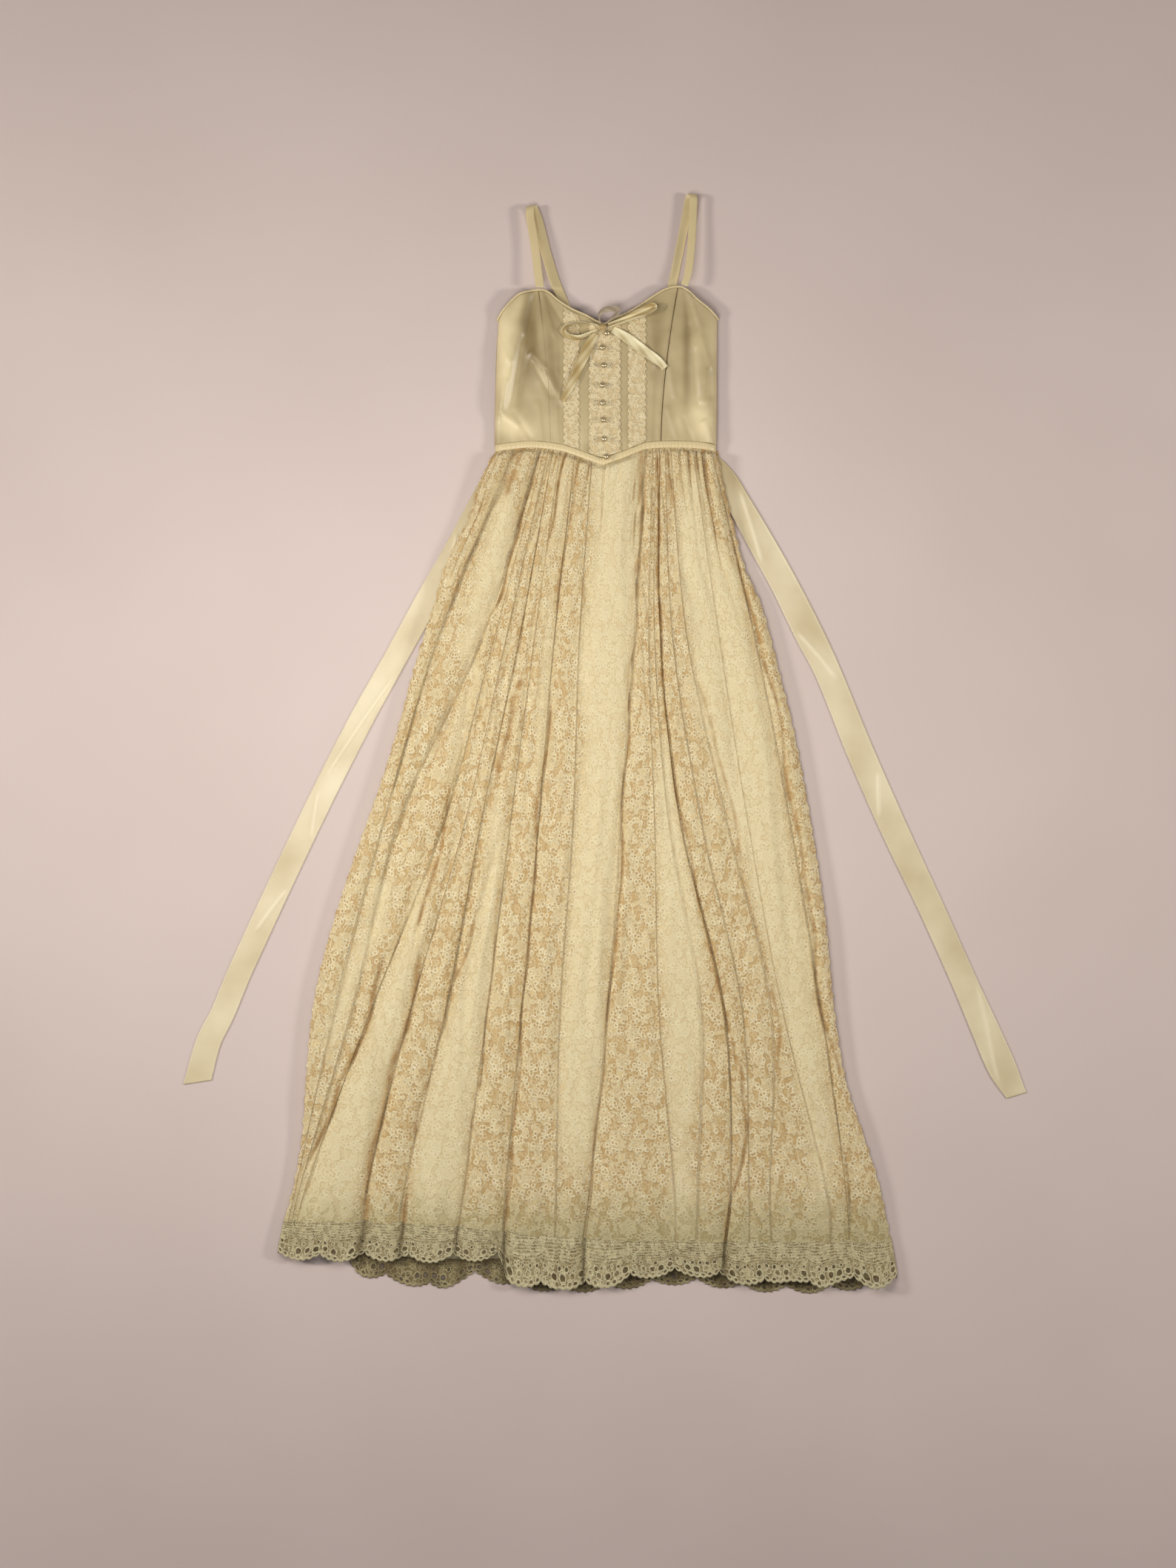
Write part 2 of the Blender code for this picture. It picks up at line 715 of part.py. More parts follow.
def sash(name, lift, rows):
    """Long satin tie, from the side seam down to the floor and flat on it."""
    rows = [(x, -drop, width) for x, drop, width in rows]

    def height(x, rise):
        return SASH_CLOTH + lift * math.exp(-(rise / SASH_ROOT) ** 2)

    strip(name, rows, SASH_CELLS, SASH_CLOTH, SASH_SATIN, height)


def tail_height(x, rise):
    """Height of the bow's flat tails, over the lace bands."""
    return bodice_height(x, rise) + TAIL_LIFT


def bow_loop(name, tall, rows):
    """Ribbon loop standing on its edge."""
    stations = [0.0]
    for before, after in zip(rows, rows[1:]):
        stations.append(stations[-1] + math.dist(before, after))

    def place(across, up):
        run = across * stations[-1]
        x, rise = (along(stations, column(rows, n), run) for n in range(2))
        return x, rise, bodice_height(x, min(rise, BOW_TOP_RISE)) + BOW_LIFT + up * tall

    sew(name, net(BOW_LOOP_CELLS, 1, place), RIBBON_CLOTH, RIBBON, 0.4, 0.0)


def round_piece(name, centre, sizes, colour):
    """Rounded body: a pearl button or the bow's knot."""
    around, rings = ROUND_STEPS
    body = bmesh.new()
    bmesh.ops.create_uvsphere(body, u_segments=around, v_segments=rings, radius=1.0)
    for knot in body.verts:
        knot.co = Vector(a * b * MM for a, b in zip(knot.co, sizes)) + at_rest(*centre)
    mesh = bpy.data.meshes.new(name)
    body.to_mesh(mesh)
    body.free()
    piece = bpy.data.objects.new(name, mesh)
    dress.objects.link(piece)
    mesh.materials.append(finish(name, colour, 0.2))
    mesh.shade_smooth()


def pearls():
    """Pearl buttons standing on the centre lace, the last one on the waistband."""
    for number, (x, rise) in enumerate(PEARLS, 1):
        on_band = BAND_LIFT + BAND_CLOTH
        z = bodice_height(x, max(rise, 0)) + on_band + SEAM_GAP + PEARL_HEIGHT
        sizes = (PEARL_RADIUS, PEARL_RADIUS, PEARL_HEIGHT)
        round_piece(f"pearl_button_{number}", (x, rise, z), sizes, PEARL)


for old in list(bpy.data.objects):
    bpy.data.objects.remove(old)
dress = bpy.data.collections.new("wedding_dress")
bpy.context.scene.collection.children.link(dress)

skirt_back()
hem_lace("hem_lace_back", back_seam_point, back_edges, BACK_HEM, lambda x, drop: LACE_CLOTH, 3)
skirt_lining()
skirt_front()
hem_lace("hem_lace_front", front_seam_point, front_edges, FRONT_HEM, skirt_height, 0)
bodice_back()
for panel in BODICE_PANELS:
    bodice_panel(*panel)
for band in LACE_BANDS:
    lace_band(*band)
waistbands()
neck_piping()
for name, rows in STRAPS:
    strap(name, rows)
for name, lift, rows in SASHES:
    sash(name, lift, rows)
knot_x, knot_rise, *knot_sizes = BOW_KNOT
knot_z = bodice_height(knot_x, knot_rise) + BOW_LIFT + knot_sizes[2]
round_piece("bow_knot", (knot_x, knot_rise, knot_z), knot_sizes, RIBBON)
for name, tall, rows in BOW_LOOPS:
    bow_loop(name, tall, rows)
for name, rows in BOW_TAILS:
    strip(name, rows, BOW_TAIL_CELLS, RIBBON_CLOTH, RIBBON, tail_height)
pearls()
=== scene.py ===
import math

import bmesh
import bpy
import mathutils
import numpy as np
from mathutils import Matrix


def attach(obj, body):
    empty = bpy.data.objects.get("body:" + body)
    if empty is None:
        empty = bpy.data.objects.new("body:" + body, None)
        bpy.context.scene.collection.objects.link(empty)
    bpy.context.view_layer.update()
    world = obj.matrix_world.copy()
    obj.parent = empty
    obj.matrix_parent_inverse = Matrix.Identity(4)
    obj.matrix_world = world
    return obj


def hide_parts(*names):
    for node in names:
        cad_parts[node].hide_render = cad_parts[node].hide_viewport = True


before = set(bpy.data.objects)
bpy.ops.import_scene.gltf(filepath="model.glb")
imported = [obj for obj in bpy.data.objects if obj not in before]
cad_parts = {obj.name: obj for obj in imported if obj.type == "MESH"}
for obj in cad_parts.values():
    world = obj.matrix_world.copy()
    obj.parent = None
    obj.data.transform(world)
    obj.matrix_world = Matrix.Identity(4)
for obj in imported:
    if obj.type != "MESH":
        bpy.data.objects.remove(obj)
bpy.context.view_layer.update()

# The dress lies on the floor with its front up. x runs to the right of the centre front,
# rise runs from the waist seam up to the neck and drop from it down to the hem, and z is
# the height above the floor, all in millimetres.
MM = 0.001
MIDDLE_X = 2.06
MIDDLE_DROP = 386.56


def lie(x, rise, z):
    """Points of the dress in the frame, in metres."""
    x, rise, z = np.broadcast_arrays(x, rise, z)
    return np.stack((x - MIDDLE_X, rise + MIDDLE_DROP, z), axis=-1) * MM


# Camera straight above. A pixel of the photograph is 0.97 mm on the floor, and the
# picture's middle lies left of the centre front and below the waist.
PIXEL = 0.97
PICTURE_ROWS = 2117
PICTURE_X = -20.4
PICTURE_DROP = 438.0
EYE = 3000.0

view = bpy.data.cameras.new("camera")
view.sensor_fit = "VERTICAL"
view.lens = view.sensor_height * EYE / (PICTURE_ROWS * PIXEL)
camera = bpy.data.objects.new("camera", view)
camera.location = lie(PICTURE_X, -PICTURE_DROP, EYE)
bpy.context.scene.collection.objects.link(camera)
bpy.context.scene.camera = camera
bpy.context.scene.view_settings.view_transform = "Standard"

# Soft lamps low on both sides, so that each fold shades its far side, and a wide soft
# one above. The air adds a little even light.
LAMPS = (
    # name, x, drop, z, width, watts, colour
    ("lamp_left", -2500, 100, 1500, 420, 33, (1.0, 0.95, 0.88)),
    ("lamp_right", 2500, 300, 1500, 420, 30, (1.0, 0.95, 0.88)),
    ("lamp_above", -260, 340, 1050, 600, 6.5, (1.0, 0.96, 0.91)),
)
AIR = (0.17, 0.16, 0.16)

LIT_POINT = mathutils.Vector((-0.1, 0.0, 0.0))
for name, x, drop, z, width, watts, colour in LAMPS:
    light = bpy.data.lights.new(name, "AREA")
    light.size = width * MM
    light.energy = watts
    light.color = colour
    lamp = bpy.data.objects.new(name, light)
    lamp.location = lie(x, -drop, z)
    aim = LIT_POINT - lamp.location
    lamp.rotation_euler = aim.to_track_quat("-Z", "Y").to_euler()
    bpy.context.scene.collection.objects.link(lamp)
air = bpy.data.worlds.new("air")
air.use_nodes = True
air.node_tree.nodes["Background"].inputs["Color"].default_value = (*AIR, 1.0)
bpy.context.scene.world = air


# Plain pale floor, just below everything that rests on it. Its finish is the first, so
# the two classes that build finishes stand here.
class Shade:
    """A value in a finish. Arithmetic on it adds the finish's own Math nodes."""

    def __init__(self, finish, socket):
        self.finish = finish
        self.socket = socket

    def worked(self, operation, *values):
        """A Math node on the given values."""
        return self.finish.add("ShaderNodeMath", {"operation": operation}, enumerate(values))

    def own(self, operation, *others):
        """A Math node on this value, and on others after it."""
        return self.worked(operation, self, *others)

    def __add__(self, other):
        return self.own("ADD", other)

    def __radd__(self, other):
        return self.worked("ADD", other, self)

    def __sub__(self, other):
        return self.own("SUBTRACT", other)

    def __rsub__(self, other):
        return self.worked("SUBTRACT", other, self)

    def __mul__(self, other):
        return self.own("MULTIPLY", other)

    def __rmul__(self, other):
        return self.worked("MULTIPLY", other, self)

    def __truediv__(self, other):
        return self.own("DIVIDE", other)

    def __abs__(self):
        return self.own("ABSOLUTE")

    def most(self, other):
        return self.own("MAXIMUM", other)

    def step(self, low, high):
        """Smooth step from 0 at low to 1 at high."""
        sockets = {"Value": self, "From Min": low, "From Max": high}
        return self.finish.add("ShaderNodeMapRange", {"interpolation_type": "SMOOTHSTEP"}, sockets)


class Finish:
    """A Principled finish, its nodes added by one method."""

    def __init__(self, name, colour, roughness):
        self.material = bpy.data.materials.new(name)
        self.material.use_nodes = True
        self.tree = self.material.node_tree
        self.shader = self.tree.nodes["Principled BSDF"]
        self.set("Base Color", (*colour, 1.0))
        self.set("Roughness", roughness)

    def add(self, kind, settings=(), sockets=(), out=0):
        """One node: its type, settings, and the values or links of its sockets."""
        node = self.tree.nodes.new(kind)
        for setting, value in dict(settings).items():
            setattr(node, setting, value)
        for place, value in dict(sockets).items():
            self.fill(node.inputs[place], value)
        return Shade(self, node.outputs[out])

    def fill(self, socket, value):
        """A socket's link, or its plain value."""
        if isinstance(value, Shade):
            self.tree.links.new(value.socket, socket)
        else:
            socket.default_value = value

    def set(self, name, value):
        """The shader's own socket."""
        self.fill(self.shader.inputs[name], value)

    def place(self):
        """Where a point is on the piece, in metres."""
        return self.add("ShaderNodeTexCoord", out="Object")

    def amount(self, label):
        """An amount that the cloth's knots carry."""
        return self.add("ShaderNodeAttribute", {"attribute_name": label}, out="Fac")

    def vector(self, x, y):
        """A place from its two values."""
        return self.add("ShaderNodeCombineXYZ", {}, {"X": x, "Y": y})

    def noise(self, vector, scale, detail=2.0):
        """Even cloud between 0 and 1."""
        return self.add("ShaderNodeTexNoise", {}, {"Vector": vector, "Scale": scale, "Detail": detail})

    def blend(self, low, high, share):
        """Colour between two colours."""
        colours = [c if isinstance(c, Shade) else (*c, 1.0) for c in (low, high)]
        sockets = {0: share, 6: colours[0], 7: colours[1]}
        return self.add("ShaderNodeMix", {"data_type": "RGBA"}, sockets, out=2)

    def bump(self, height, depth):
        """Relief of that depth in millimetres where height goes from 0 to 1."""
        relief = self.add("ShaderNodeBump", {}, {"Distance": depth * MM, "Height": height})
        self.set("Normal", relief)


def dye(red, green, blue):
    """A colour as seen, on a scale of 255, in the light's own scale."""
    return tuple(((c / 255 + 0.055) / 1.055) ** 2.4 for c in (red, green, blue))


def made(name, form, finish):
    """The piece that a form gives, in its finish."""
    mesh = bpy.data.meshes.new(name)
    form.to_mesh(mesh)
    form.free()
    mesh.materials.append(finish.material)
    piece = bpy.data.objects.new(name, mesh)
    bpy.context.scene.collection.objects.link(piece)
    return piece


FLOOR_DROP = 0.4
FLOOR_HALF = 3.0

floor_finish = Finish("floor", dye(218, 203, 197), 0.9)
cloud = floor_finish.noise(floor_finish.place(), 3.0)
tint = floor_finish.blend(dye(211, 195, 189), dye(223, 208, 203), cloud)
floor_finish.set("Base Color", tint)
ground = bmesh.new()
bmesh.ops.create_grid(ground, x_segments=1, y_segments=1, size=FLOOR_HALF)
bmesh.ops.translate(ground, verts=ground.verts, vec=(0, 0, -FLOOR_DROP * MM))
made("floor", ground, floor_finish)


# Skirt back. Cream lace over its lining in one gathered sheet, flat on the floor and
# sewn into the waistband; only its lower left edge and its underside show.
class Loom:
    """Smooth lines of the cut pattern, and sheets of cloth woven to a given shape."""

    def line(self, stations, values, place):
        """Smooth curve through the values, straight past both ends."""
        stations = np.asarray(stations, float)
        values = np.asarray(values, float)
        slopes = np.gradient(values) / np.gradient(stations)
        i = np.clip(np.searchsorted(stations, place, side="right") - 1, 0, len(values) - 2)
        span = stations[i + 1] - stations[i]
        t = np.clip((place - stations[i]) / span, 0.0, 1.0)
        start = values[i] * (1 + 2 * t) * (1 - t) ** 2 + slopes[i] * span * t * (1 - t) ** 2
        end = values[i + 1] * t * t * (3 - 2 * t) + slopes[i + 1] * span * t * t * (t - 1)
        before = slopes[0] * np.minimum(place - stations[0], 0.0)
        after = slopes[-1] * np.maximum(place - stations[-1], 0.0)
        return start + end + before + after

    def table(self, rows, number, place):
        """A table's column at a place along its first column."""
        return self.line([row[0] for row in rows], [row[number] for row in rows], place)

    def weave(self, name, columns, rows, lay, finish, thick=0.0, side=-1.0):
        """A sheet of cells. lay(across, up) gives x, rise, z and the amounts it carries."""
        cloth = bmesh.new()
        bmesh.ops.create_grid(cloth, x_segments=columns, y_segments=rows, size=0.5)
        piece = made(name, cloth, finish)
        mesh = piece.data
        knots = np.empty(len(mesh.vertices) * 3, np.float32)
        mesh.vertices.foreach_get("co", knots)
        across, up = (knots.astype(float).reshape(-1, 3)[:, n] + 0.5 for n in (0, 1))
        x, rise, z, amounts = lay(across, up)
        mesh.vertices.foreach_set("co", lie(x, rise, z).astype(np.float32).ravel())
        for label, amount in amounts.items():
            layer = mesh.attributes.new(label, "FLOAT", "POINT")
            amount = np.broadcast_to(amount, across.shape).astype(np.float32)
            layer.data.foreach_set("value", np.ascontiguousarray(amount))
        mesh.shade_smooth()
        if thick:
            wall = piece.modifiers.new("wall", "SOLIDIFY")
            wall.thickness = thick * MM
            wall.offset = side
        return piece


def between(start, end, share):
    """A value between two others."""
    return start + (end - start) * share


def inset(x, left, right):
    """How far x lies inside two edges."""
    return np.minimum(x - left, right - x)


def ease(share):
    """Smooth step from 0 to 1."""
    share = np.clip(share, 0.0, 1.0)
    return share * share * (3.0 - 2.0 * share)


def fading(place, start, stop, fade, early=0.0):
    """1 from start to stop, fading to 0 towards both."""
    return ease((place - start) / fade + early) * ease((stop - place) / fade + early)


def bell(away):
    """1 in the middle, falling off on both sides."""
    return np.exp(-away ** 2)


def sewn(piece, nodes):
    """Fixes the piece to the dress's root and hides the CAD parts it stands for."""
    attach(piece, "root")
    for node in nodes:
        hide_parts(node)


loom = Loom()
SKIRT_OUTLINE = (
    # drop, left, right
    (0, -141, 149), (20, -152, 152), (50, -165, 158), (90, -178, 168), (155, -209, 185),
    (200, -221, 205), (240, -234, 217), (300, -252, 232), (350, -265, 245), (435, -291, 262),
    (540, -328, 280), (620, -354, 291), (695, -374, 298), (750, -383, 304), (830, -390, 318),
    (900, -395, 341), (960, -405, 360), (1020, -421, 373), (1060, -429, 382), (1100, -434, 387),
)
BACK_TUCK = (
    # drop, how far inside the outline at the left and at the right
    (5, 18, 14), (25, 27, 18), (58, 37, 10), (100, 27, 2), (133, 25, 1), (203, 10, 1),
    (240, 1, 1), (1110, 1, 1),
)
BACK_SEAM = (
    # x, drop
    (-430, 1003), (-340, 1012), (-260, 1036), (-150, 1043), (0, 1044), (382, 1040),
)
SEAM_LEVEL = 1040
BACK_WIDTH = 900
BACK_SHIFT = 240
BACK_TOP = 4.7
BACK_LIE = 0.15
BACK_MOST = 1.35
BACK_CREASE_END = 60
BACK_CREASES = (
    # x at the waist, x at the hem, from drop, to drop, height, half width
    (-110, -330, 10, 620, 0.9, 5), (-90, -262, 340, 1040, 1.0, 7), (-62, -196, 60, 1040, 0.9, 6),
    (-40, -118, 520, 1040, 0.7, 5), (-22, -60, 20, 860, 0.9, 5), (6, 16, 240, 1040, 1.0, 7),
    (30, 96, 10, 560, 0.8, 5), (52, 150, 380, 1040, 1.0, 8), (84, 214, 30, 760, 0.9, 5),
    (104, 268, 480, 1040, 0.9, 6), (122, 330, 90, 900, 0.8, 5),
)


def front_edges(drop):
    """Left and right edge of the front skirt at one level."""
    return loom.table(SKIRT_OUTLINE, 1, drop), loom.table(SKIRT_OUTLINE, 2, drop)


def back_edges(drop):
    """Left and right edge of the back skirt at one level."""
    left, right = front_edges(drop)
    return left + loom.table(BACK_TUCK, 1, drop), right - loom.table(BACK_TUCK, 2, drop)


def seam_knots(edges, seam, across):
    """x and drop of the seam above the hem lace."""
    left, right = edges(np.full_like(across, SEAM_LEVEL))
    drop = loom.table(seam, 1, between(left, right, across))
    left, right = edges(drop)
    return between(left, right, across), drop


MOTIFS = (
    # spacing across and along, radius, depth of the petals, petals, shift of the rows
    (31, 37, 9.4, 2.2, 6, 0.0), (31, 37, 5.6, 1.5, 5, 0.5), (17, 21, 4.0, 2.3, 2, 0.27),
)
HALF_DROP = 0.5
STRAY = 0.28
STEM_WAVE = 11
STEM_SPACING = 15.5


class Lace:
    """Corded lace: large and small flowers, leaves, stems and rosettes on a fine net."""

    def __init__(self, finish, u, v, size=1.0):
        """u and v are the cloth's own places in millimetres."""
        self.finish = finish
        place = finish.vector(u, v)
        drift = finish.noise(place, 0.045 / size) * 14 * size
        bend = finish.noise(place, 0.16 / size) * 1.6 * size
        self.u = u + drift + bend
        self.v = v + bend * 1.3 - drift * 0.6
        self.size = size
        large, small, leaf = (self.flowers(*motif) for motif in MOTIFS)
        stem_u = (self.v / (STEM_WAVE * size)).own("SINE") * 6 * size
        stem = abs((self.u + stem_u).own("PINGPONG", STEM_SPACING * size) - 7.7 * size)
        stem = 1.0 - stem / (0.9 * size)
        inside = large.most(small).most(leaf)
        self.motif = inside.most(stem * 0.7).step(-0.5, 0.5)
        self.shadow = (1.0 - abs(inside + 1.9) / 1.7).step(0.0, 0.8) * (1.0 - self.motif)
        streak = finish.vector(u * (0.17 / size), v * (0.03 / size))
        self.streak = finish.noise(streak, 1.0).step(0.5, 0.68) * (1.0 - self.motif * 0.75)
        ring = (1.0 - abs(large) / 1.0).most(1.0 - abs(small) / 0.9).most(1.0 - abs(leaf) / 0.8)
        ring = ring.most(1.0 - abs(large - 5.2) / 0.8).most(stem * 0.5)
        rosettes = self.spots(place, 0.125)
        cluster = finish.noise(place, 0.045 / size).step(0.4, 0.6) * 0.75 + 0.25
        self.rosette = (1.0 - abs(rosettes - 0.33) / 0.16).step(0.0, 1.0) * cluster
        self.rim = ring.step(0.0, 0.9).most(self.rosette)
        holes = self.spots(place, 0.33)
        patch = finish.noise(place, 0.11 / size).step(0.42, 0.62)
        self.hole = (0.55 - holes).step(0.05, 0.4) * (1.0 - self.motif * 0.7) * (0.3 + patch * 0.7)
        eye = (0.17 - rosettes).step(0.0, 0.1) * cluster
        self.hole = (self.hole * 0.8 * (1.0 - self.rim)).most(eye)

    def spots(self, place, scale):
        """Distance from the nearest of many scattered spots."""
        return self.finish.add("ShaderNodeTexVoronoi", {"voronoi_dimensions": "2D"},
                               {"Vector": place, "Scale": scale / self.size, "Randomness": 0.8})

    def flowers(self, wide, tall, radius, petal, petals, shift):
        """Distance in millimetres inside the flowers' edges, below zero outside."""
        finish = self.finish
        wide = wide * self.size
        tall = tall * self.size
        row = self.v / tall + shift
        row_number = row.own("FLOOR")
        column = self.u / wide + shift + row_number * HALF_DROP
        column_number = column.own("FLOOR")
        spot = finish.vector(column_number, row_number)
        luck = finish.add("ShaderNodeTexWhiteNoise", {"noise_dimensions": "3D"}, {"Vector": spot})
        luck_two = (luck * 7.31).own("FRACT")
        x = (column - column_number - 0.5) * wide + (luck - 0.5) * wide * STRAY
        y = (row - row_number - 0.5) * tall + (luck_two - 0.5) * tall * STRAY
        away = (x * x + y * y).own("SQRT")
        turn = (y.own("ARCTAN2", x) + luck * 6.28) * petals
        edge = turn.own("COSINE") * petal + radius * (0.85 + luck_two * 0.35)
        return edge * self.size - away


def lace_finish(name, motif, ground, speck_and_shade, rim, size=1.0):
    """Lace in its own colours, with painted shadow and shade; returns the finish, its lace and its
    colour so far.
    """
    finish = Finish(name, motif, 0.82)
    lace = Lace(finish, finish.amount("u"), finish.amount("v"), size)
    tone_and_painted_light = finish.noise(finish.place(), 22.0)
    colour = finish.blend(ground, motif, lace.motif * 0.6 + tone_and_painted_light * 0.3)
    # Painted shadow just outside the motifs' edges, in the speck colour.
    colour = finish.blend(colour, speck_and_shade, lace.shadow * 0.4)
    colour = finish.blend(colour, speck_and_shade, lace.streak * 0.36)
    colour = finish.blend(colour, rim, lace.rim * 0.8)
    # Painted shade in the net's holes and the rosettes' eyes.
    colour = finish.blend(colour, speck_and_shade, lace.hole * 0.75)
    return finish, lace, colour


back_finish, back_lace, colour = lace_finish(
    "skirt_back_lace",
    dye(216, 202, 152), dye(196, 172, 118), dye(156, 126, 74), dye(236, 224, 180),
)
back_finish.set("Base Color", colour)
back_finish.bump(back_lace.motif + back_lace.rim * 0.5, 0.35)


def lay_back(across, up):
    """The flat back, with soft troughs of its underside in their own places."""
    drop_low = seam_knots(back_edges, BACK_SEAM, across)[1]
    drop = between(BACK_TOP, drop_low, (1 - up) ** 1.3)
    left, right = back_edges(drop)
    x = between(left, right, across)
    z = np.full_like(x, BACK_LIE)
    for waist_x, hem_x, start, stop, height, half in BACK_CREASES:
        crease_x = waist_x + (hem_x - waist_x) * drop / SEAM_LEVEL + 4 * np.sin(drop / 90 + hem_x)
        z += height * fading(drop, start, stop, BACK_CREASE_END) * bell((x - crease_x) / half)
    return x, -drop, np.minimum(z, BACK_MOST), {"u": across * BACK_WIDTH + BACK_SHIFT, "v": drop}


skirt_back = loom.weave("skirt_back", 200, 160, lay_back, back_finish, 0.4, 1.0)
sewn(skirt_back, ["skirt_back_lace"])


# Skirt lining. Pale smooth cloth under the front lace from the waist to the hem, cut a
# little narrower than the back and hung from the waist seam.
LINING_HEM = (
    # x, drop
    (-430, 1034), (-350, 1040), (-300, 1050), (-250, 1058), (-150, 1059), (382, 1059),
)
LINING_START = 26
LINING_INSET = 14
LINING_LIE = 2.55

lining_finish = Finish("skirt_lining", dye(226, 212, 166), 0.7)
lining_finish.set("Base Color", lining_finish.blend(
    dye(216, 200, 152), dye(232, 220, 178), lining_finish.noise(lining_finish.place(), 30.0)))


def lay_lining(across, up):
    """Flat lining, a little slack across."""
    low_left, low_right = back_edges(np.full_like(across, SEAM_LEVEL))
    hem = loom.table(LINING_HEM, 1, between(low_left, low_right, across))
    drop = between(LINING_START, hem, 1 - up)
    left, right = back_edges(drop)
    x = between(left + LINING_INSET, right - LINING_INSET, across)
    z = LINING_LIE + 0.3 * np.sin(x / 13 + drop / 160) * np.sin(x / 31 + 1.3)
    return x, -drop, z, {}


skirt_lining = loom.weave("skirt_lining", 120, 90, lay_lining, lining_finish, 0.3)
sewn(skirt_lining, ["skirt_front_lining"])


# Skirt front. One wide sheet of lace over the lining, gathered and turned in under the
# waistband, so that it falls in long folds. The folds lie as in the CAD; the pressed
# creases, the gathers and the small slack of the cloth are added here.
FOLD_LEVELS = (0, 250, 490, 735, 980, 1060)
FOLDS = (
    # x at the six levels, depth, from, to
    ((-115, -216, -286, -349, -405, -421), 0.95, 0, 420),
    ((-81, -159, -267, -327, -400, -414), 0.85, 0, 600),
    ((-76, -143, -208, -304, -393, -407), 0.95, 400, 960),
    ((-71, -127, -181, -252, -311, -318), 0.95, 640, 1100),
    ((-65, -110, -160, -205, -262, -267), 0.75, 60, 1100),
    ((-56, -90, -121, -151, -183, -191), 0.7, 480, 1100),
    ((-36, -64, -84, -106, -128, -131), 0.9, 60, 1100),
    ((-14, -31, -39, -56, -61, -63), 0.35, 0, 1000),
    ((57, 42, 24, 7, -19, -31), 0.7, 0, 1100),
    ((64, 59, 67, 73, 94, 94), 0.4, 380, 1060),
    ((68, 67, 86, 129, 124, 121), 0.4, 640, 1060),
    ((73, 75, 101, 159, 167, 157), 1.0, 0, 1100),
    ((80, 91, 129, 182, 191, 191), 0.5, 560, 1000),
    ((87, 110, 163, 220, 218, 220), 0.5, 380, 960),
    ((116, 152, 189, 234, 294, 297), 0.4, 120, 900),
    ((140, 199, 245, 286, 318, 322), 0.8, 60, 1060),
)
SWELLS = (
    # height between two fold lines, cells across
    (13, 8), (13, 6), (9, 19), (12, 29), (10, 17), (11, 25), (10, 20), (12, 22), (11, 20),
    (9, 40), (9, 9), (9, 12), (11, 11), (9, 11), (10, 25), (10, 18), (13, 19),
)
SKIRT_CELLS = 311
SKIRT_ROWS = 310
FAN_WIDTH = 810
FOLD_JUMP = 23
EDGE_TOP = 2.8
EDGE_REACH = 16
VALLEY_TOP = 4.9
VALLEY_FILL = 2.4
VALLEY_SHADE = 0.62
FOLD_END = 70
WAIST_SWELL = 6.5
FLOOR_OF_CREASE = 3.7
LAST_CREASE = 1045
SCALLOP = 1.3
WAIST_LINE = (
    # x, rise
    (-143, 0), (-120, 3), (-93, 5), (-57, 1), (-34, -6), (-15, -13), (0, -17), (12, -13),
    (24, -9), (44, -1), (55, 3), (82, 5), (121, 4), (149, 0),
)
WAIST_HALF = 4.7
WAIST_ENDS = (-143, 148)
WAIST_TOP = 13
SEAM_GAP = 0.4
SIDE_ROLL = 14
TURNED_IN = 3.0
TURNED_UNDER = 1.6
TURN_LENGTH = 8
FRONT_SEAM = (
    # x, drop
    (-430, 1009), (-300, 1011), (-200, 1015), (-100, 1026), (0, 1033), (150, 1036), (386, 1036),
)
CREASE_END = 45
CREASE_DEPTH = 3.2
CREASE_LIP = 1.7
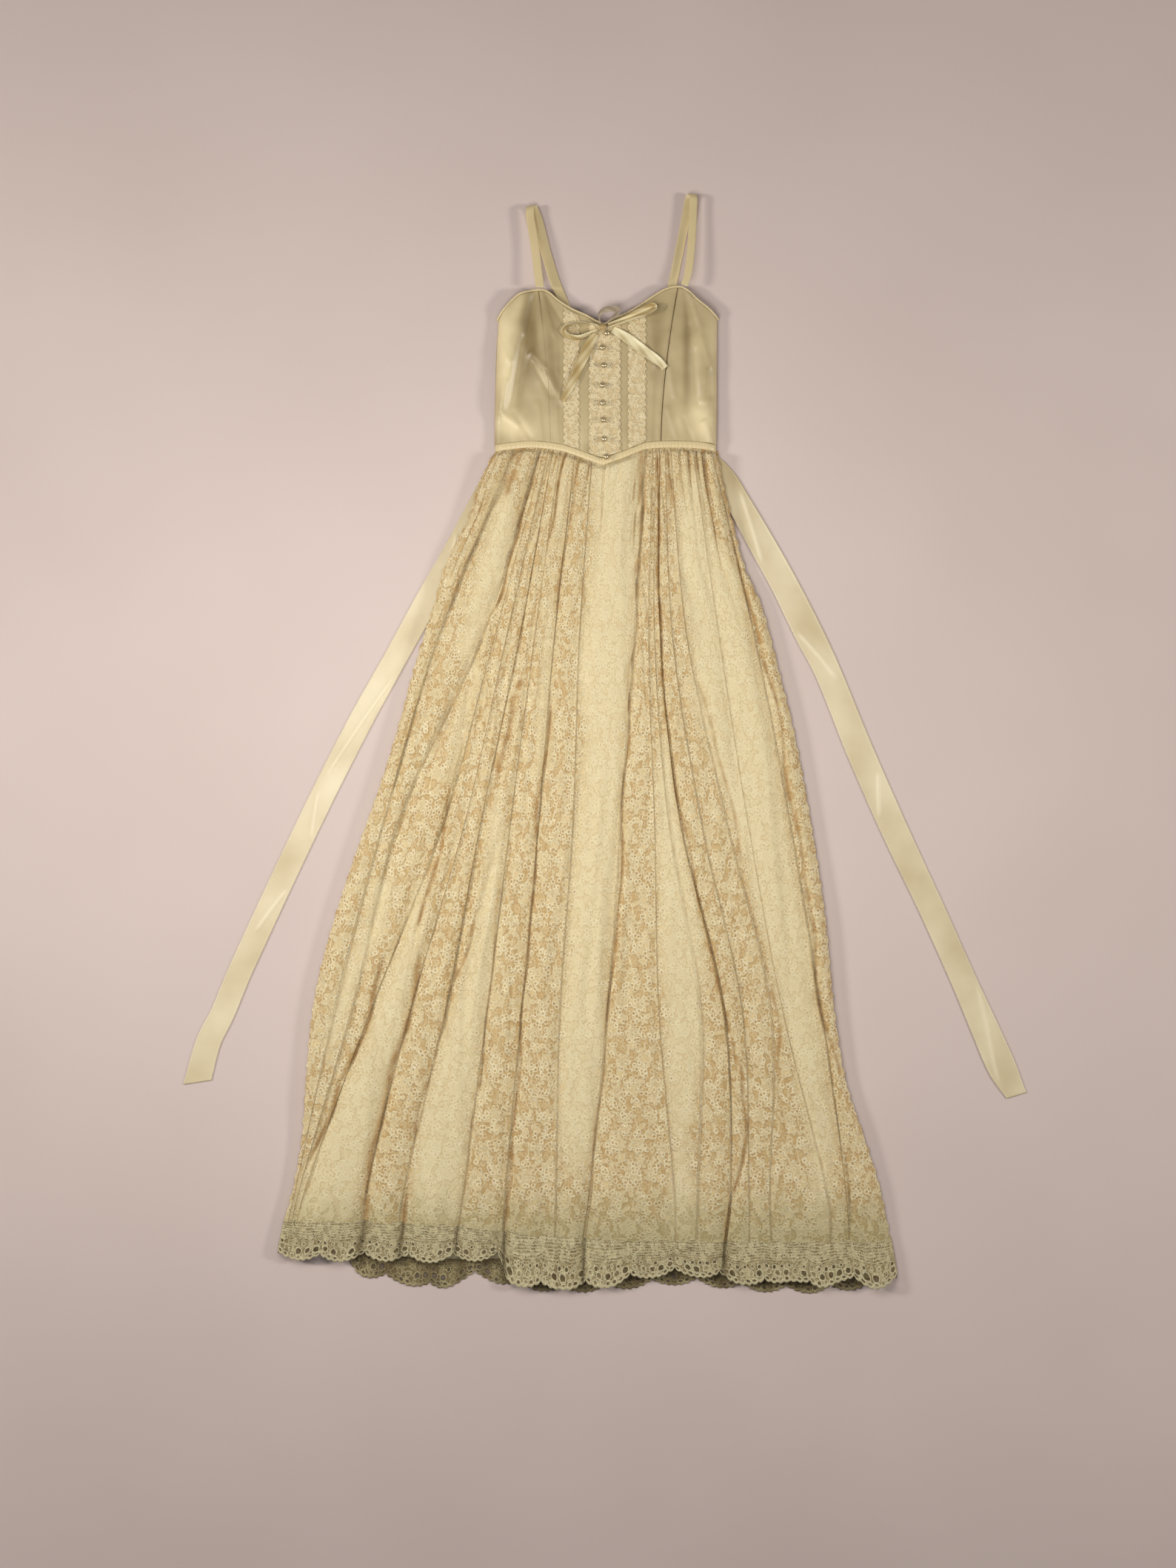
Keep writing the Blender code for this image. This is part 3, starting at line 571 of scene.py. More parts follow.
CREASES = (
    # depth, half width, places as x and drop
    (0.8, 4, ((-115, 8), (-128, 47), (-148, 85), (-170, 131), (-187, 168), (-204, 216))),
    (0.5, 4, ((-209, 226), (-218, 265), (-225, 313), (-237, 362), (-247, 410))),
    (1.0, 4, ((-89, 37), (-107, 81), (-114, 119), (-121, 144), (-131, 187), (-150, 221))),
    (0.6, 4, ((-174, 284), (-197, 347), (-213, 381), (-228, 420), (-245, 464), (-262, 488))),
    (0.9, 8, ((-106, 289), (-116, 328), (-121, 362), (-139, 420), (-148, 459))),
    (0.5, 4, ((-92, 129), (-100, 178), (-109, 236), (-106, 289))),
    (1.0, 5, ((-203, 454), (-209, 488), (-214, 527), (-224, 566), (-234, 595), (-245, 629))),
    (1.0, 6, (
        (-286, 663), (-298, 706), (-308, 750), (-325, 789), (-342, 827), (-354, 866), (-369, 895),
        (-385, 929),
    )),
    (1.0, 8, (
        (-240, 663), (-251, 726), (-261, 769), (-276, 808), (-285, 847), (-294, 886), (-303, 924),
        (-308, 963), (-312, 1002), (-319, 1052),
    )),
    (0.8, 5, (
        (-169, 614), (-181, 663), (-197, 701), (-206, 740), (-218, 779), (-230, 827), (-240, 861),
        (-249, 905),
    )),
    (1.0, 6, ((-255, 968), (-259, 1002), (-264, 1026), (-269, 1052))),
    (0.8, 4, (
        (-133, 566), (-143, 643), (-148, 711), (-155, 769), (-162, 827), (-170, 876), (-178, 934),
        (-186, 992), (-193, 1052),
    )),
    (0.7, 4, ((-31, 22), (-42, 81), (-48, 119), (-56, 168), (-63, 216))),
    (1.0, 4, (
        (-68, 333), (-75, 391), (-81, 439), (-87, 478), (-90, 527), (-90, 575), (-96, 624),
        (-101, 672), (-106, 730), (-109, 798), (-114, 857), (-120, 924), (-125, 983), (-129, 1060),
    )),
    (0.5, 4, ((-121, 493), (-125, 556), (-127, 663), (-119, 711), (-123, 769), (-131, 827))),
    (0.9, 4, (
        (55, 11), (51, 71), (48, 129), (44, 187), (42, 250), (35, 284), (33, 342), (32, 381),
        (27, 430), (24, 478), (24, 527), (24, 575), (17, 633), (12, 672), (6, 730), (0, 798),
        (-5, 857), (-11, 895), (-16, 944), (-20, 1002), (-28, 1060),
    )),
    (1.0, 4, (
        (72, 5), (72, 42), (71, 90), (72, 148), (73, 207), (75, 255), (79, 313), (83, 362),
        (90, 410), (100, 469), (112, 527), (122, 575), (131, 614), (138, 653), (148, 696),
        (158, 730), (167, 769), (172, 808),
    )),
    (0.8, 4, ((85, 3), (87, 37), (93, 81))),
    (0.4, 3, ((67, 420), (69, 478), (72, 536), (73, 595), (67, 643))),
    (1.0, 5, ((179, 808), (183, 847), (187, 886), (181, 924), (172, 963), (163, 1002), (157, 1060))),
    (0.6, 4, ((173, 614), (178, 663), (182, 721), (189, 789), (199, 837))),
    (0.5, 4, ((141, 672), (144, 721), (148, 769), (146, 818))),
    (0.7, 6, (
        (122, 304), (136, 347), (148, 391), (165, 459), (178, 527), (185, 575), (197, 624),
        (209, 663), (219, 701), (227, 750), (228, 798), (231, 847), (238, 905),
    )),
    (0.9, 5, (
        (165, 105), (176, 148), (187, 197), (201, 241), (210, 275), (222, 318), (231, 362),
        (238, 415), (244, 459), (252, 498), (263, 551), (270, 599), (275, 638), (277, 682),
        (283, 726), (292, 764), (303, 800), (315, 845),
    )),
    (0.6, 6, ((315, 924), (322, 963), (320, 1012))),
)
PALE_BANDS = (
    # drop, left, right: where the plain lining shows between the motifs
    ((20, -14, 48), (103, -13, 47), (187, -19, 44), (284, -34, 36), (381, -24, 29),
     (478, -34, 19), (575, -44, 19), (672, -49, 3), (770, -56, 3), (866, -61, -7),
     (905, -58, -15), (930, -50, -20)),
    ((42, 102, 131), (103, 97, 137), (162, 97, 175), (236, 113, 190), (284, 116, 203),
     (333, 116, 223), (381, 136, 223), (430, 150, 233), (478, 165, 238), (527, 184, 247),
     (575, 189, 255), (624, 204, 267), (672, 218, 275), (721, 228, 276), (769, 240, 284),
     (818, 252, 286), (866, 262, 298), (915, 267, 298), (963, 272, 296), (1012, 276, 291)),
    ((369, 80, 81), (381, 76, 84), (430, 71, 92), (478, 70, 97), (523, 68, 109),
     (575, 73, 116), (624, 71, 126), (672, 73, 131), (721, 82, 126), (769, 82, 131),
     (818, 82, 126), (866, 87, 116), (915, 92, 107), (963, 87, 121), (1020, 80, 121)),
    ((575, -247, -233), (624, -262, -233), (672, -276, -244), (721, -296, -252),
     (769, -310, -262), (818, -335, -276), (866, -354, -291), (915, -378, -306),
     (963, -398, -315), (1002, -407, -325)),
    ((459, -141, -135), (478, -147, -133), (527, -150, -131), (575, -160, -134),
     (624, -165, -136), (672, -178, -143), (721, -194, -150), (769, -209, -160),
     (818, -223, -165), (866, -238, -170), (915, -243, -178), (963, -249, -184),
     (1002, -247, -184)),
    ((60, -146, -122), (90, -146, -114), (139, -160, -121), (187, -172, -131),
     (236, -181, -160), (265, -189, -170), (304, -170, -160), (343, -189, -178),
     (381, -197, -182), (420, -203, -192)),
    ((207, -72, -66), (236, -75, -66), (284, -78, -68), (333, -82, -71), (381, -84, -73),
     (430, -84, -78)),
    ((32, -63, -49), (90, -63, -51), (120, -60, -53)),
    ((575, -305, -278), (624, -312, -285), (672, -335, -310), (721, -350, -330),
     (769, -362, -345)),
)
RIDGES = 44
GATHERS = 58


def fold_places(drop):
    """x of the skirt's two edges and of all fold lines at each level."""
    left, right = front_edges(drop)
    lines = [loom.line(FOLD_LEVELS, fold[0], drop) for fold in FOLDS]
    return np.array([left, *lines, right])


def skirt_height(x, drop):
    """Height of the front skirt's main folds."""
    places = fold_places(drop)
    depths = [np.zeros_like(drop)]
    for levels, depth, start, stop in FOLDS:
        shown = fading(drop, start, stop, FOLD_END, 1)
        depths.append(depth * np.maximum(shown, 0.15))
    depths.append(np.zeros_like(drop))
    x = np.clip(x, places[0], places[-1])
    heights = []
    for (rise, cells), left, right in zip(SWELLS, places, places[1:]):
        heights.append(rise * (1 - np.exp(-np.maximum(right - left, 0.4) / (0.9 * rise))))
    height = np.zeros_like(x)
    for i in range(len(SWELLS)):
        ends = []
        for k in (i, i + 1):
            if k in (0, len(SWELLS)):
                ends.append(np.full_like(x, EDGE_TOP))
            else:
                ends.append(VALLEY_TOP + (1 - depths[k]) * 0.45 * (heights[k - 1] + heights[k]))
        share = np.clip((x - places[i]) / (places[i + 1] - places[i]), 0, 1)
        bulge = 1 - abs(2 * share - 1) ** 2.4
        low = between(*ends, share)
        swell = between(low, VALLEY_TOP + heights[i], bulge)
        height = np.where((x >= places[i]) & (x <= places[i + 1]), swell, height)
    nearest = np.abs(places[1:-1] - x).min(axis=0)
    height = height + VALLEY_FILL * bell(nearest / 2.6)
    reach = inset(x, places[0], places[-1])
    return height + WAIST_SWELL * np.exp(-np.maximum(drop, 0) / 55) * ease(reach / SIDE_ROLL)


def creased(x, drop):
    """How far the pressed creases take the cloth down, and how much painted shade they lay on it."""
    down = np.zeros_like(x)
    shade = np.zeros_like(x)
    for depth, half, line in CREASES:
        levels = [place[1] for place in line]
        crease_x = loom.line(levels, [place[0] for place in line], drop)
        shown = depth * fading(drop, levels[0], levels[-1], CREASE_END, 0.6)
        away = (x - crease_x - 1.5 * np.sin(drop / 23 + half)) / half
        lip = CREASE_LIP * shown * bell((away + 1.7) / 1.1)
        down = np.maximum(down, CREASE_DEPTH * shown * bell(away / 0.75)) - lip
        shade = np.maximum(shade, shown * bell(away / 0.7))
    return down, shade


def pale(x, drop):
    """Distance inside the plain bands in millimetres, below zero outside."""
    inside = np.full_like(x, -40.0)
    for band in PALE_BANDS:
        left = loom.table(band, 1, drop)
        right = loom.table(band, 2, drop)
        ends = np.minimum(drop - band[0][0] + 12, band[-1][0] + 12 - drop)
        inside = np.maximum(inside, np.minimum(inset(x, left, right) * 0.95, ends))
    return inside


def slack(fan, drop):
    """Small uneven ridges that run along the folds, and the gathers below the waist."""
    luck = np.random.default_rng(11)
    z = np.zeros_like(fan)
    for _ in range(RIDGES):
        waves = luck.uniform(7, 34)
        turn = luck.uniform(0, 6.28)
        drift = luck.uniform(-1.4, 1.4)
        middle = luck.uniform(40, 1060)
        length = luck.uniform(80, 300)
        part = bell((drop - middle) / length)
        place = luck.uniform(0, 1)
        near = bell((fan - place) / 0.16)
        lean = 0.4 * np.sin(drop / luck.uniform(60, 160) + turn)
        wave = 1 - abs(np.sin(3.14 * waves * fan + turn + drift * drop / 200 + lean)) * 1.57
        z += luck.uniform(0.8, 2.1) * part * near * wave
    gathers = np.zeros_like(fan)
    for number in range(GATHERS):
        middle = (number + luck.uniform(0.1, 0.9)) / GATHERS
        length = luck.uniform(35, 230)
        half = luck.uniform(0.0045, 0.0085)
        height = luck.uniform(-7.0, 4.0)
        middle = middle + (drop / 1000) * luck.uniform(-0.05, 0.05)
        fade = np.exp(-(np.maximum(drop, 0) / length) ** 1.5)
        gathers += height * fade * bell((fan - middle) / half)
    return z, gathers


def fan_share(x, drop):
    """Place across the front skirt, from 0 at its left edge to 1 at its right one."""
    left, right = front_edges(drop)
    return (x - left) / (right - left)


def draped(x, drop, small):
    """Height of the front's cloth with small heights on its folds, and its creases' painted shade."""
    reach = ease(inset(x, *front_edges(drop)) / EDGE_REACH)
    down, shade = creased(x, np.minimum(drop, LAST_CREASE))
    base = skirt_height(x, drop)
    z = base + (small - down) * reach
    return np.maximum(z, np.minimum(base, FLOOR_OF_CREASE)), shade


def rolled(x, left, right, top):
    """Height of cloth with this top that rolls down to its two side edges."""
    share = np.clip((inset(x, left, right) - SEAM_GAP) / SIDE_ROLL, 0, 1)
    return between(EDGE_TOP, top, np.sqrt(1 - (1 - share) ** 2))


def lay_front(across, up):
    """The gathered front from its seam up to the waistband."""
    cells = np.array([row[1] for row in SWELLS])
    starts = np.concatenate(([0], np.cumsum(cells)))
    knot = np.round(across * SKIRT_CELLS)
    swell = np.clip(np.searchsorted(starts, knot, side="right") - 1, 0, len(cells) - 1)
    share = (knot - starts[swell]) / cells[swell]

    def knot_x(drop):
        places = fold_places(drop)
        order = np.arange(len(knot))
        return places[swell, order] * (1 - share) + places[swell + 1, order] * share

    waist_x = knot_x(np.zeros_like(across))
    hem_x = knot_x(np.full_like(across, float(SEAM_LEVEL)))
    edge = WAIST_HALF - loom.table(WAIST_LINE, 1, waist_x)
    top = edge - TURNED_IN
    bottom = loom.table(FRONT_SEAM, 1, hem_x)
    drop = between(bottom, top, 1 - (1 - up) ** 1.12)
    x = knot_x(drop)
    fan = fan_share(x, drop)
    ridges, gathers = slack(fan, drop)
    z, shade = draped(x, drop, ridges + gathers)
    under = rolled(x, *WAIST_ENDS, WAIST_TOP) - TURNED_UNDER
    z = between(z, under, ease((edge + TURN_LENGTH - drop) / TURN_LENGTH))
    # Painted shade in the gathers' troughs and along the fold valleys, on top of the creases'.
    shade = np.maximum(shade, np.clip(-gathers / 4.5, 0, 0.95))
    valley = np.abs(fold_places(drop)[1:-1] - x).min(axis=0)
    shade = np.maximum(shade, VALLEY_SHADE * bell(valley / 2.4))
    u = 0.5 * FAN_WIDTH * fan + 0.5 * x + FOLD_JUMP * swell
    amounts = {"u": u, "v": drop, "pale": pale(x, drop), "painted_shade": shade}
    at_edge = 1 - ease(inset(x, *front_edges(drop)) / 6)
    return x + SCALLOP * np.sin(drop / 2.9) * np.sin(drop / 11) * at_edge, -drop, z, amounts


front_finish, front_lace, colour = lace_finish(
    "skirt_front_lace",
    dye(228, 208, 159), dye(204, 177, 125), dye(180, 144, 90), dye(255, 246, 210),
)
cloud = front_finish.noise(front_finish.place(), 14.0)
ragged = front_finish.noise(front_finish.place(), 60.0)
smooth = front_finish.amount("pale") + front_lace.motif * -9.0 + ragged * 22.0 - 7.0
smooth = smooth.step(-4.0, 7.0)
plain = front_finish.blend(dye(226, 210, 166), dye(236, 225, 184), cloud)
# Painted shade in the holes and a painted shadow round the motifs, also in the plain bands.
plain = front_finish.blend(plain, dye(200, 176, 122), front_lace.hole * 0.45)
plain = front_finish.blend(plain, dye(206, 184, 134), front_lace.shadow * 0.4)
plain = front_finish.blend(plain, dye(242, 233, 198), front_lace.rim * 0.3)
colour = front_finish.blend(colour, plain, smooth * 0.8)
# Towards the hem the lace greys to the border's colours: painted shade seen through the lace there.
low = (front_finish.amount("v") + ragged * 60.0).step(978.0, 1064.0)
hem_cord = front_lace.rim.most(front_lace.motif * 0.6)
shaded_hem_tone = front_finish.blend(dye(168, 154, 108), dye(208, 198, 154), hem_cord)
colour = front_finish.blend(colour, shaded_hem_tone, low * 0.9)
# Painted shade: creases, gathers' troughs and fold valleys darken to warm brown, with some of the
# doubled lace's deeper colour there.
fold_shade = front_finish.amount("painted_shade")
fold_shade = (fold_shade * (0.1 + ragged * 1.7)).step(0.25, 1.15)
colour = front_finish.blend(colour, dye(168, 126, 70), fold_shade * 0.78)
front_finish.set("Base Color", colour)
relief = (front_lace.motif * 0.5 + front_lace.rim - front_lace.hole * 0.5) * (1.0 - smooth * 0.6)
front_finish.bump(relief, 0.5)

skirt_front = loom.weave("skirt_front", SKIRT_CELLS, SKIRT_ROWS, lay_front, front_finish)
sewn(skirt_front, ["skirt_front_lace"])


# Hem lace. Two scalloped borders with rows of corded rings below straight cords, sewn under
# the edge of the skirt's front and of its back; the rings and the net are open.
FRONT_HEM = (
    # x, drop
    (-430, 1052), (-410, 1056), (-350, 1059), (-310, 1058), (-220, 1060), (-150, 1058),
    (-136, 1060), (-124, 1086), (-60, 1096), (0, 1094), (45, 1083), (100, 1078),
    (150, 1084), (205, 1092), (240, 1085), (270, 1096), (305, 1086), (345, 1094), (386, 1084),
)
BACK_HEM = (
    # x, drop
    (-430, 1049), (-345, 1054), (-312, 1080), (-262, 1090), (-215, 1099), (-168, 1084),
    (-120, 1094), (-60, 1102), (0, 1100), (100, 1092), (200, 1101), (290, 1102),
    (340, 1094), (382, 1080),
)
SCALLOPS = 14
SCALLOP_WIDTH = 60
SCALLOP_NOTCH = 10
PICOTS = 7
PICOT = 2.8
BORDER_WIDTH = 50
BORDER_LAP = 3.0
BORDER_UNDER = 0.45
BORDER_RIPPLE = 0.9
BACK_BORDER_LIE = 0.75
RING_ROWS = (
    # rings in one scallop, height above the edge, radius, width of their cord
    (7, 4.2, 2.8, 1.1), (5, 11.0, 4.0, 1.3), (6, 19.0, 2.4, 1.0),
)
RIB = 3.4
RIB_START = (20.0, 26.0)


def lay_border(edges, seam, hem, height, shift):
    """A border's shape: its scalloped lower edge, its seam, and the height it lies at."""
    def lay(across, up):
        u = across * SCALLOPS * SCALLOP_WIDTH
        seam_x, seam_drop = seam_knots(edges, seam, across)
        left, right = edges(np.full_like(across, SEAM_LEVEL))
        turn = np.pi * (u / SCALLOP_WIDTH + shift)
        bottom = loom.table(hem, 1, between(left, right, across))
        bottom -= SCALLOP_NOTCH * (1 - abs(np.sin(turn)) ** 0.8)
        bottom += PICOT * abs(np.sin(turn * PICOTS)) * (1 - up) ** 2
        left, right = edges(bottom)
        x = between(between(left, right, across), seam_x, up)
        drop = between(bottom, seam_drop - BORDER_LAP, up)
        z, shade = height(x, drop, across)
        z = z - BORDER_UNDER * ease((up - 0.86) / 0.1)
        u = u + shift * SCALLOP_WIDTH
        return x, -drop, z, {"u": u, "v": up * BORDER_WIDTH, "painted_shade": shade}
    return lay


def border_finish(name, motif, ground, speck_and_shade, rim):
    """Lace border: rows of small corded rings below straight cords, open net, and painted shade."""
    finish, lace, colour = lace_finish(name, motif, ground, speck_and_shade, rim, 0.62)
    u = finish.amount("u")
    v = finish.amount("v")
    wave = finish.noise(finish.place(), 60.0) * 5.0
    cord = (3.0 - v).step(-1.0, 1.0)
    eye = 0.0
    for count, level, radius, width in RING_ROWS:
        place = u * (count / SCALLOP_WIDTH)
        number = place.own("FLOOR")
        luck = finish.add(
            "ShaderNodeTexWhiteNoise", {"noise_dimensions": "1D"}, {"W": number + level})
        x = (place - number - 0.5) * (SCALLOP_WIDTH / count) + (luck - 0.5) * 1.5
        y = v - level + (luck - 0.5) * 2.4
        away = (x * x + y * y).own("SQRT") + (wave - 2.5) * 0.5
        size = radius * (0.8 + luck * 0.4)
        cord = cord.most((1.0 - abs(away - size) / width).step(0.0, 0.7))
        eye = ((size - width * 0.6 - away).step(-0.3, 0.5) * luck.step(0.1, 0.5)).most(eye)
    rib = 1.0 - abs((v + wave).own("PINGPONG", RIB) - RIB * 0.5) / 1.1
    rib = rib.step(0.0, 0.8) * v.step(*RIB_START) * lace.streak.most(0.75)
    solid = lace.motif.most(cord).most(rib)
    net = (1.0 - lace.hole * 1.1 * (1.0 - solid)).step(0.2, 0.6)
    finish.set("Alpha", (1.0 - eye * (1.0 - cord) * 0.75).step(0.0, 0.6) * net)
    patch = finish.noise(finish.place(), 110.0).step(0.48, 0.62)
    colour = finish.blend(colour, speck_and_shade, patch * (1.0 - cord) * 0.4)
    colour = finish.blend(colour, rim, cord.most(rib) * 0.65)
    # Painted shade in the rings' eyes.
    colour = finish.blend(colour, speck_and_shade, eye * (1.0 - cord) * 0.7)
    # Painted shade where the cloth carries it: creases, ripples' troughs, and the front's shadow on
    # the back border.
    colour = finish.blend(colour, dye(104, 86, 50), finish.amount("painted_shade") * 0.65)
    finish.set("Base Color", colour)
    finish.bump(solid + lace.rim + cord, 0.6)
    return finish


def front_border_height(x, drop, across):
    """The border hangs from the skirt's edge and keeps to its folds, with ripples of its own and the
    creases' painted shade.
    """
    ripple = BORDER_RIPPLE * np.sin(across * 150 + 2 * np.sin(across * 23))
    return draped(x, drop, slack(fan_share(x, drop), drop)[0] + ripple)


def back_border_height(x, drop, across):
    """Flat on the floor, a little lifted by its ripples, with painted shade in their troughs and a
    painted shadow where the front lies over.
    """
    ripple = np.sin(across * 130 + 3 * np.sin(across * 17))
    # Painted shadow where the front's edge lies over, and painted shade in the ripples' troughs.
    under = ease((loom.table(FRONT_HEM, 1, x) + 14 - drop) / 16)
    return BACK_BORDER_LIE + 0.3 * ripple, np.maximum(0.5 - 0.5 * ripple, 0.95 * under)


# The back border's colours are darker than the front's: painted shade, as it lies in the front's
# shadow.
shaded_back_hem_finish = border_finish(
    "hem_lace_back", dye(164, 150, 106), dye(132, 116, 76), dye(90, 75, 45), dye(196, 184, 140))
hem_back = loom.weave(
    "hem_back", 504, 24, lay_border(back_edges, BACK_SEAM, BACK_HEM, back_border_height, 0.5),
    shaded_back_hem_finish, 0.35, 1.0)
sewn(hem_back, ["hem_lace_back"])
front_hem_finish = border_finish(
    "hem_lace_front", dye(204, 192, 146), dye(172, 155, 110), dye(122, 102, 64), dye(232, 223, 182))
hem_front = loom.weave(
    "hem_front", 504, 24, lay_border(front_edges, FRONT_SEAM, FRONT_HEM, front_border_height, 0.0),
    front_hem_finish, 0.4)
sewn(hem_front, ["hem_lace_front"])


# Bodice. Three ivory satin panels seamed over the cups, their edges turned under, with a
# flat satin back; small folds run from the strap ends and from the seams.
NECKLINE = (
    # x, rise
    (-138, 166), (-133, 175), (-121, 189), (-111, 198), (-100, 202), (-85, 205), (-73, 202),
    (-61, 192), (-44, 181), (-24, 172), (0, 161), (14, 168), (29, 174), (44, 182), (63, 195),
    (82, 206), (97, 209), (108, 205), (121, 193), (136, 181), (149, 168),
)
BODICE_SIDES = (
    # rise, left, right
    (0, -143, 148), (45, -143, 149), (90, -142, 149), (125, -141, 149), (168, -138, 149),
)
BODICE_PANELS = (
    # name, left and right at the waist, left and right at the top, columns
    ("bodice_side_left", -143, -69, -138, -85, 76),
    ("bodice_centre_front", -69, 75, -85, 97, 150),
    ("bodice_side_right", 75, 148, 97, 149, 76),
)
CUPS = (
    # x, rise, height, width, length
    (-84, 128, 6, 42, 55), (94, 130, 6, 42, 55),
)
BODICE_FOLDS = (
    # from x and rise, to x and rise, height, half width
    (-104, 196, -133, 60, 4.0, 9), (-94, 190, -118, 60, -3.0, 8), (-112, 158, -78, 92, 1.6, 10),
    (114, 150, 118, 45, -2.6, 10), (137, 60, 143, 10, 2.0, 9),
)
SMALL_FOLDS = (
    # from x and rise, to x and rise, height, half width
    (-94, 123, -77, 104, 1.5, 4.5), (-77, 104, -56, 62, 1.3, 5.5), (-90, 110, -70, 70, -1.2, 4.0),
    (-80, 200, -66, 150, 1.3, 3.2), (-88, 200, -86, 140, -1.2, 3.0), (-96, 199, -106, 150, 1.4, 3.4),
    (-74, 198, -52, 160, -1.0, 3.0), (100, 204, 86, 150, 1.3, 3.4), (106, 204, 110, 160, -1.3, 3.2),
    (112, 200, 126, 158, 1.2, 3.4), (92, 206, 72, 168, -1.0, 3.0), (118, 123, 121, 62, -1.9, 4.5),
    (131, 34, 142, 8, 2.0, 5.0), (126, 150, 139, 108, 1.0, 4.0), (134, 100, 128, 62, 1.0, 4.0),
    (-138, 140, -122, 112, 1.1, 4.0), (-136, 48, -112, 30, 1.2, 4.0), (-128, 84, -138, 40, 1.4, 4.0),
    (-116, 46, -96, 14, -1.1, 4.0), (-86, 56, -80, 10, 1.1, 4.0), (-62, 60, -60, 8, 0.9, 3.4),
    (64, 84, 62, 12, 0.9, 3.4), (84, 50, 96, 12, 1.1, 4.0), (104, 40, 116, 10, -1.0, 4.0),
    (62, 160, 66, 110, 0.9, 3.2), (-62, 150, -60, 100, 0.8, 3.2), (84, 112, 92, 70, 1.0, 4.0),
)
SATIN_THICK = 0.5
BODICE_BACK_TOP = 156
LEFT_SEAM = -69
LEFT_SEAM_REACH = 24
SEAM_OPEN = 0.2
SEAM_DEPTH = 1.3
NO_SEAM = 99


def bodice_edges(rise):
    """Left and right side of the bodice at one level."""
    return loom.table(BODICE_SIDES, 1, rise), loom.table(BODICE_SIDES, 2, rise)


def bodice_form(x, rise):
    """Height of the bodice as in the CAD: rolled sides, soft cups and its main folds."""
    height = WAIST_TOP + folded(x, rise, BODICE_FOLDS)
    for cup_x, cup_rise, swell, width, length in CUPS:
        away = ((x - cup_x) / width) ** 2 + ((rise - cup_rise) / length) ** 2
        height = height + swell * np.exp(-away)
    return rolled(x, *bodice_edges(rise), height)


def folded(x, rise, folds):
    """Height of straight folds that fade at both ends."""
    height = np.zeros_like(x)
    for x1, rise1, x2, rise2, swell, half in folds:
        run_x, run_rise = x2 - x1, rise2 - rise1
        length = math.hypot(run_x, run_rise)
        share = ((x - x1) * run_x + (rise - rise1) * run_rise) / length ** 2
        away = abs((x - x1) * run_rise - (rise - rise1) * run_x) / length
        height = height + swell * fading(share, 0, 1, 0.2, 1) * bell(away / half)
    return height


def bodice_bottom(x):
    """Lower edge of the bodice, just above the waistband."""
    return loom.table(WAIST_LINE, 1, x) + WAIST_HALF


def satin_finish(name, low, high, roughness=0.36, tone_and_painted_light=None):
    """Satin: a soft sheen with a faint twill, and a cloudy tone, or the painted highlights and shade
    that its cloth carries.
    """
    finish = Finish(name, high, roughness)
    place = finish.place()
    cloud = finish.noise(place, 24.0)
    twill = finish.noise(place, 900.0, 1.0)
    share = finish.amount(tone_and_painted_light) + (cloud - 0.5) * 0.5 if tone_and_painted_light else cloud * 0.7 + twill * 0.3
    finish.set("Base Color", finish.blend(low, high, share.step(-0.25, 1.25)))
    finish.bump(twill, 0.05)
    return finish


# Painted highlights and shade on the bodice satin, as soft spots.
BODICE_PAINTED_LIGHT = (
    # x, rise, half width, half length, lean of its length, amount: painted highlight above zero,
    # painted shade below
    (-128, 110, 11, 80, 0.05, 1.4), (-113, 180, 8, 30, -0.3, 0.8), (-96, 145, 10, 60, 0.06, -1.1),
    (-108, 90, 10, 40, -0.2, -0.6), (-76, 88, 5, 34, 0.75, 0.6), (-115, 26, 24, 14, 0.9, 1.1),
    (-84, 50, 16, 34, 0.1, 0.3), (-66, 110, 9, 60, 0.1, -0.7), (-70, 176, 12, 22, 0.4, -0.5),
    (108, 120, 5, 70, 0.0, -0.7), (121, 110, 7, 60, 0.0, 0.25), (126, 36, 16, 30, 0.3, 1.3),
    (98, 30, 12, 22, 0.2, 0.5), (144, 120, 6, 60, 0.0, 0.5), (70, 130, 9, 50, 0.0, -0.6),
    (72, 40, 8, 34, 0.0, 0.35), (-30, 20, 10, 20, 0.0, 0.3), (60, 180, 18, 12, -0.4, -0.3),
)
satin = satin_finish("bodice_satin", dye(136, 116, 74), dye(242, 226, 180), 0.36, "tone_and_painted_light")


def bodice_painted_light(x, rise):
    """How bright the satin's painted sheen is, from 0 to 1: its painted highlights and shade."""
    tone_and_painted_light = np.full_like(x, 0.42)
    for spot_x, spot_rise, half_x, half_rise, lean, amount in BODICE_PAINTED_LIGHT:
        away = (x - spot_x + lean * (rise - spot_rise)) / half_x
        tone_and_painted_light = tone_and_painted_light + 0.42 * amount * np.exp(-away ** 2 - ((rise - spot_rise) / half_rise) ** 2)
    return np.clip(tone_and_painted_light, 0, 1)


def lay_back_bodice(across, up):
    """The flat satin back, with the slack of a laid-down back."""
    rise = between(WAIST_HALF, BODICE_BACK_TOP, up)
    left, right = bodice_edges(rise)
    x = between(left + SEAM_GAP, right - SEAM_GAP, across)
    z = 0.15 + 0.4 * (1 + np.sin(x / 16 + 1.4 * np.sin(rise / 41)) * np.cos(rise / 60 + x / 90))
    return x, rise, z, {"tone_and_painted_light": 0.4 + 0.15 * np.sin(x / 22)}


bodice_back = loom.weave("bodice_back", 120, 70, lay_back_bodice, satin, 0.4, 1.0)
sewn(bodice_back, ["bodice_back"])


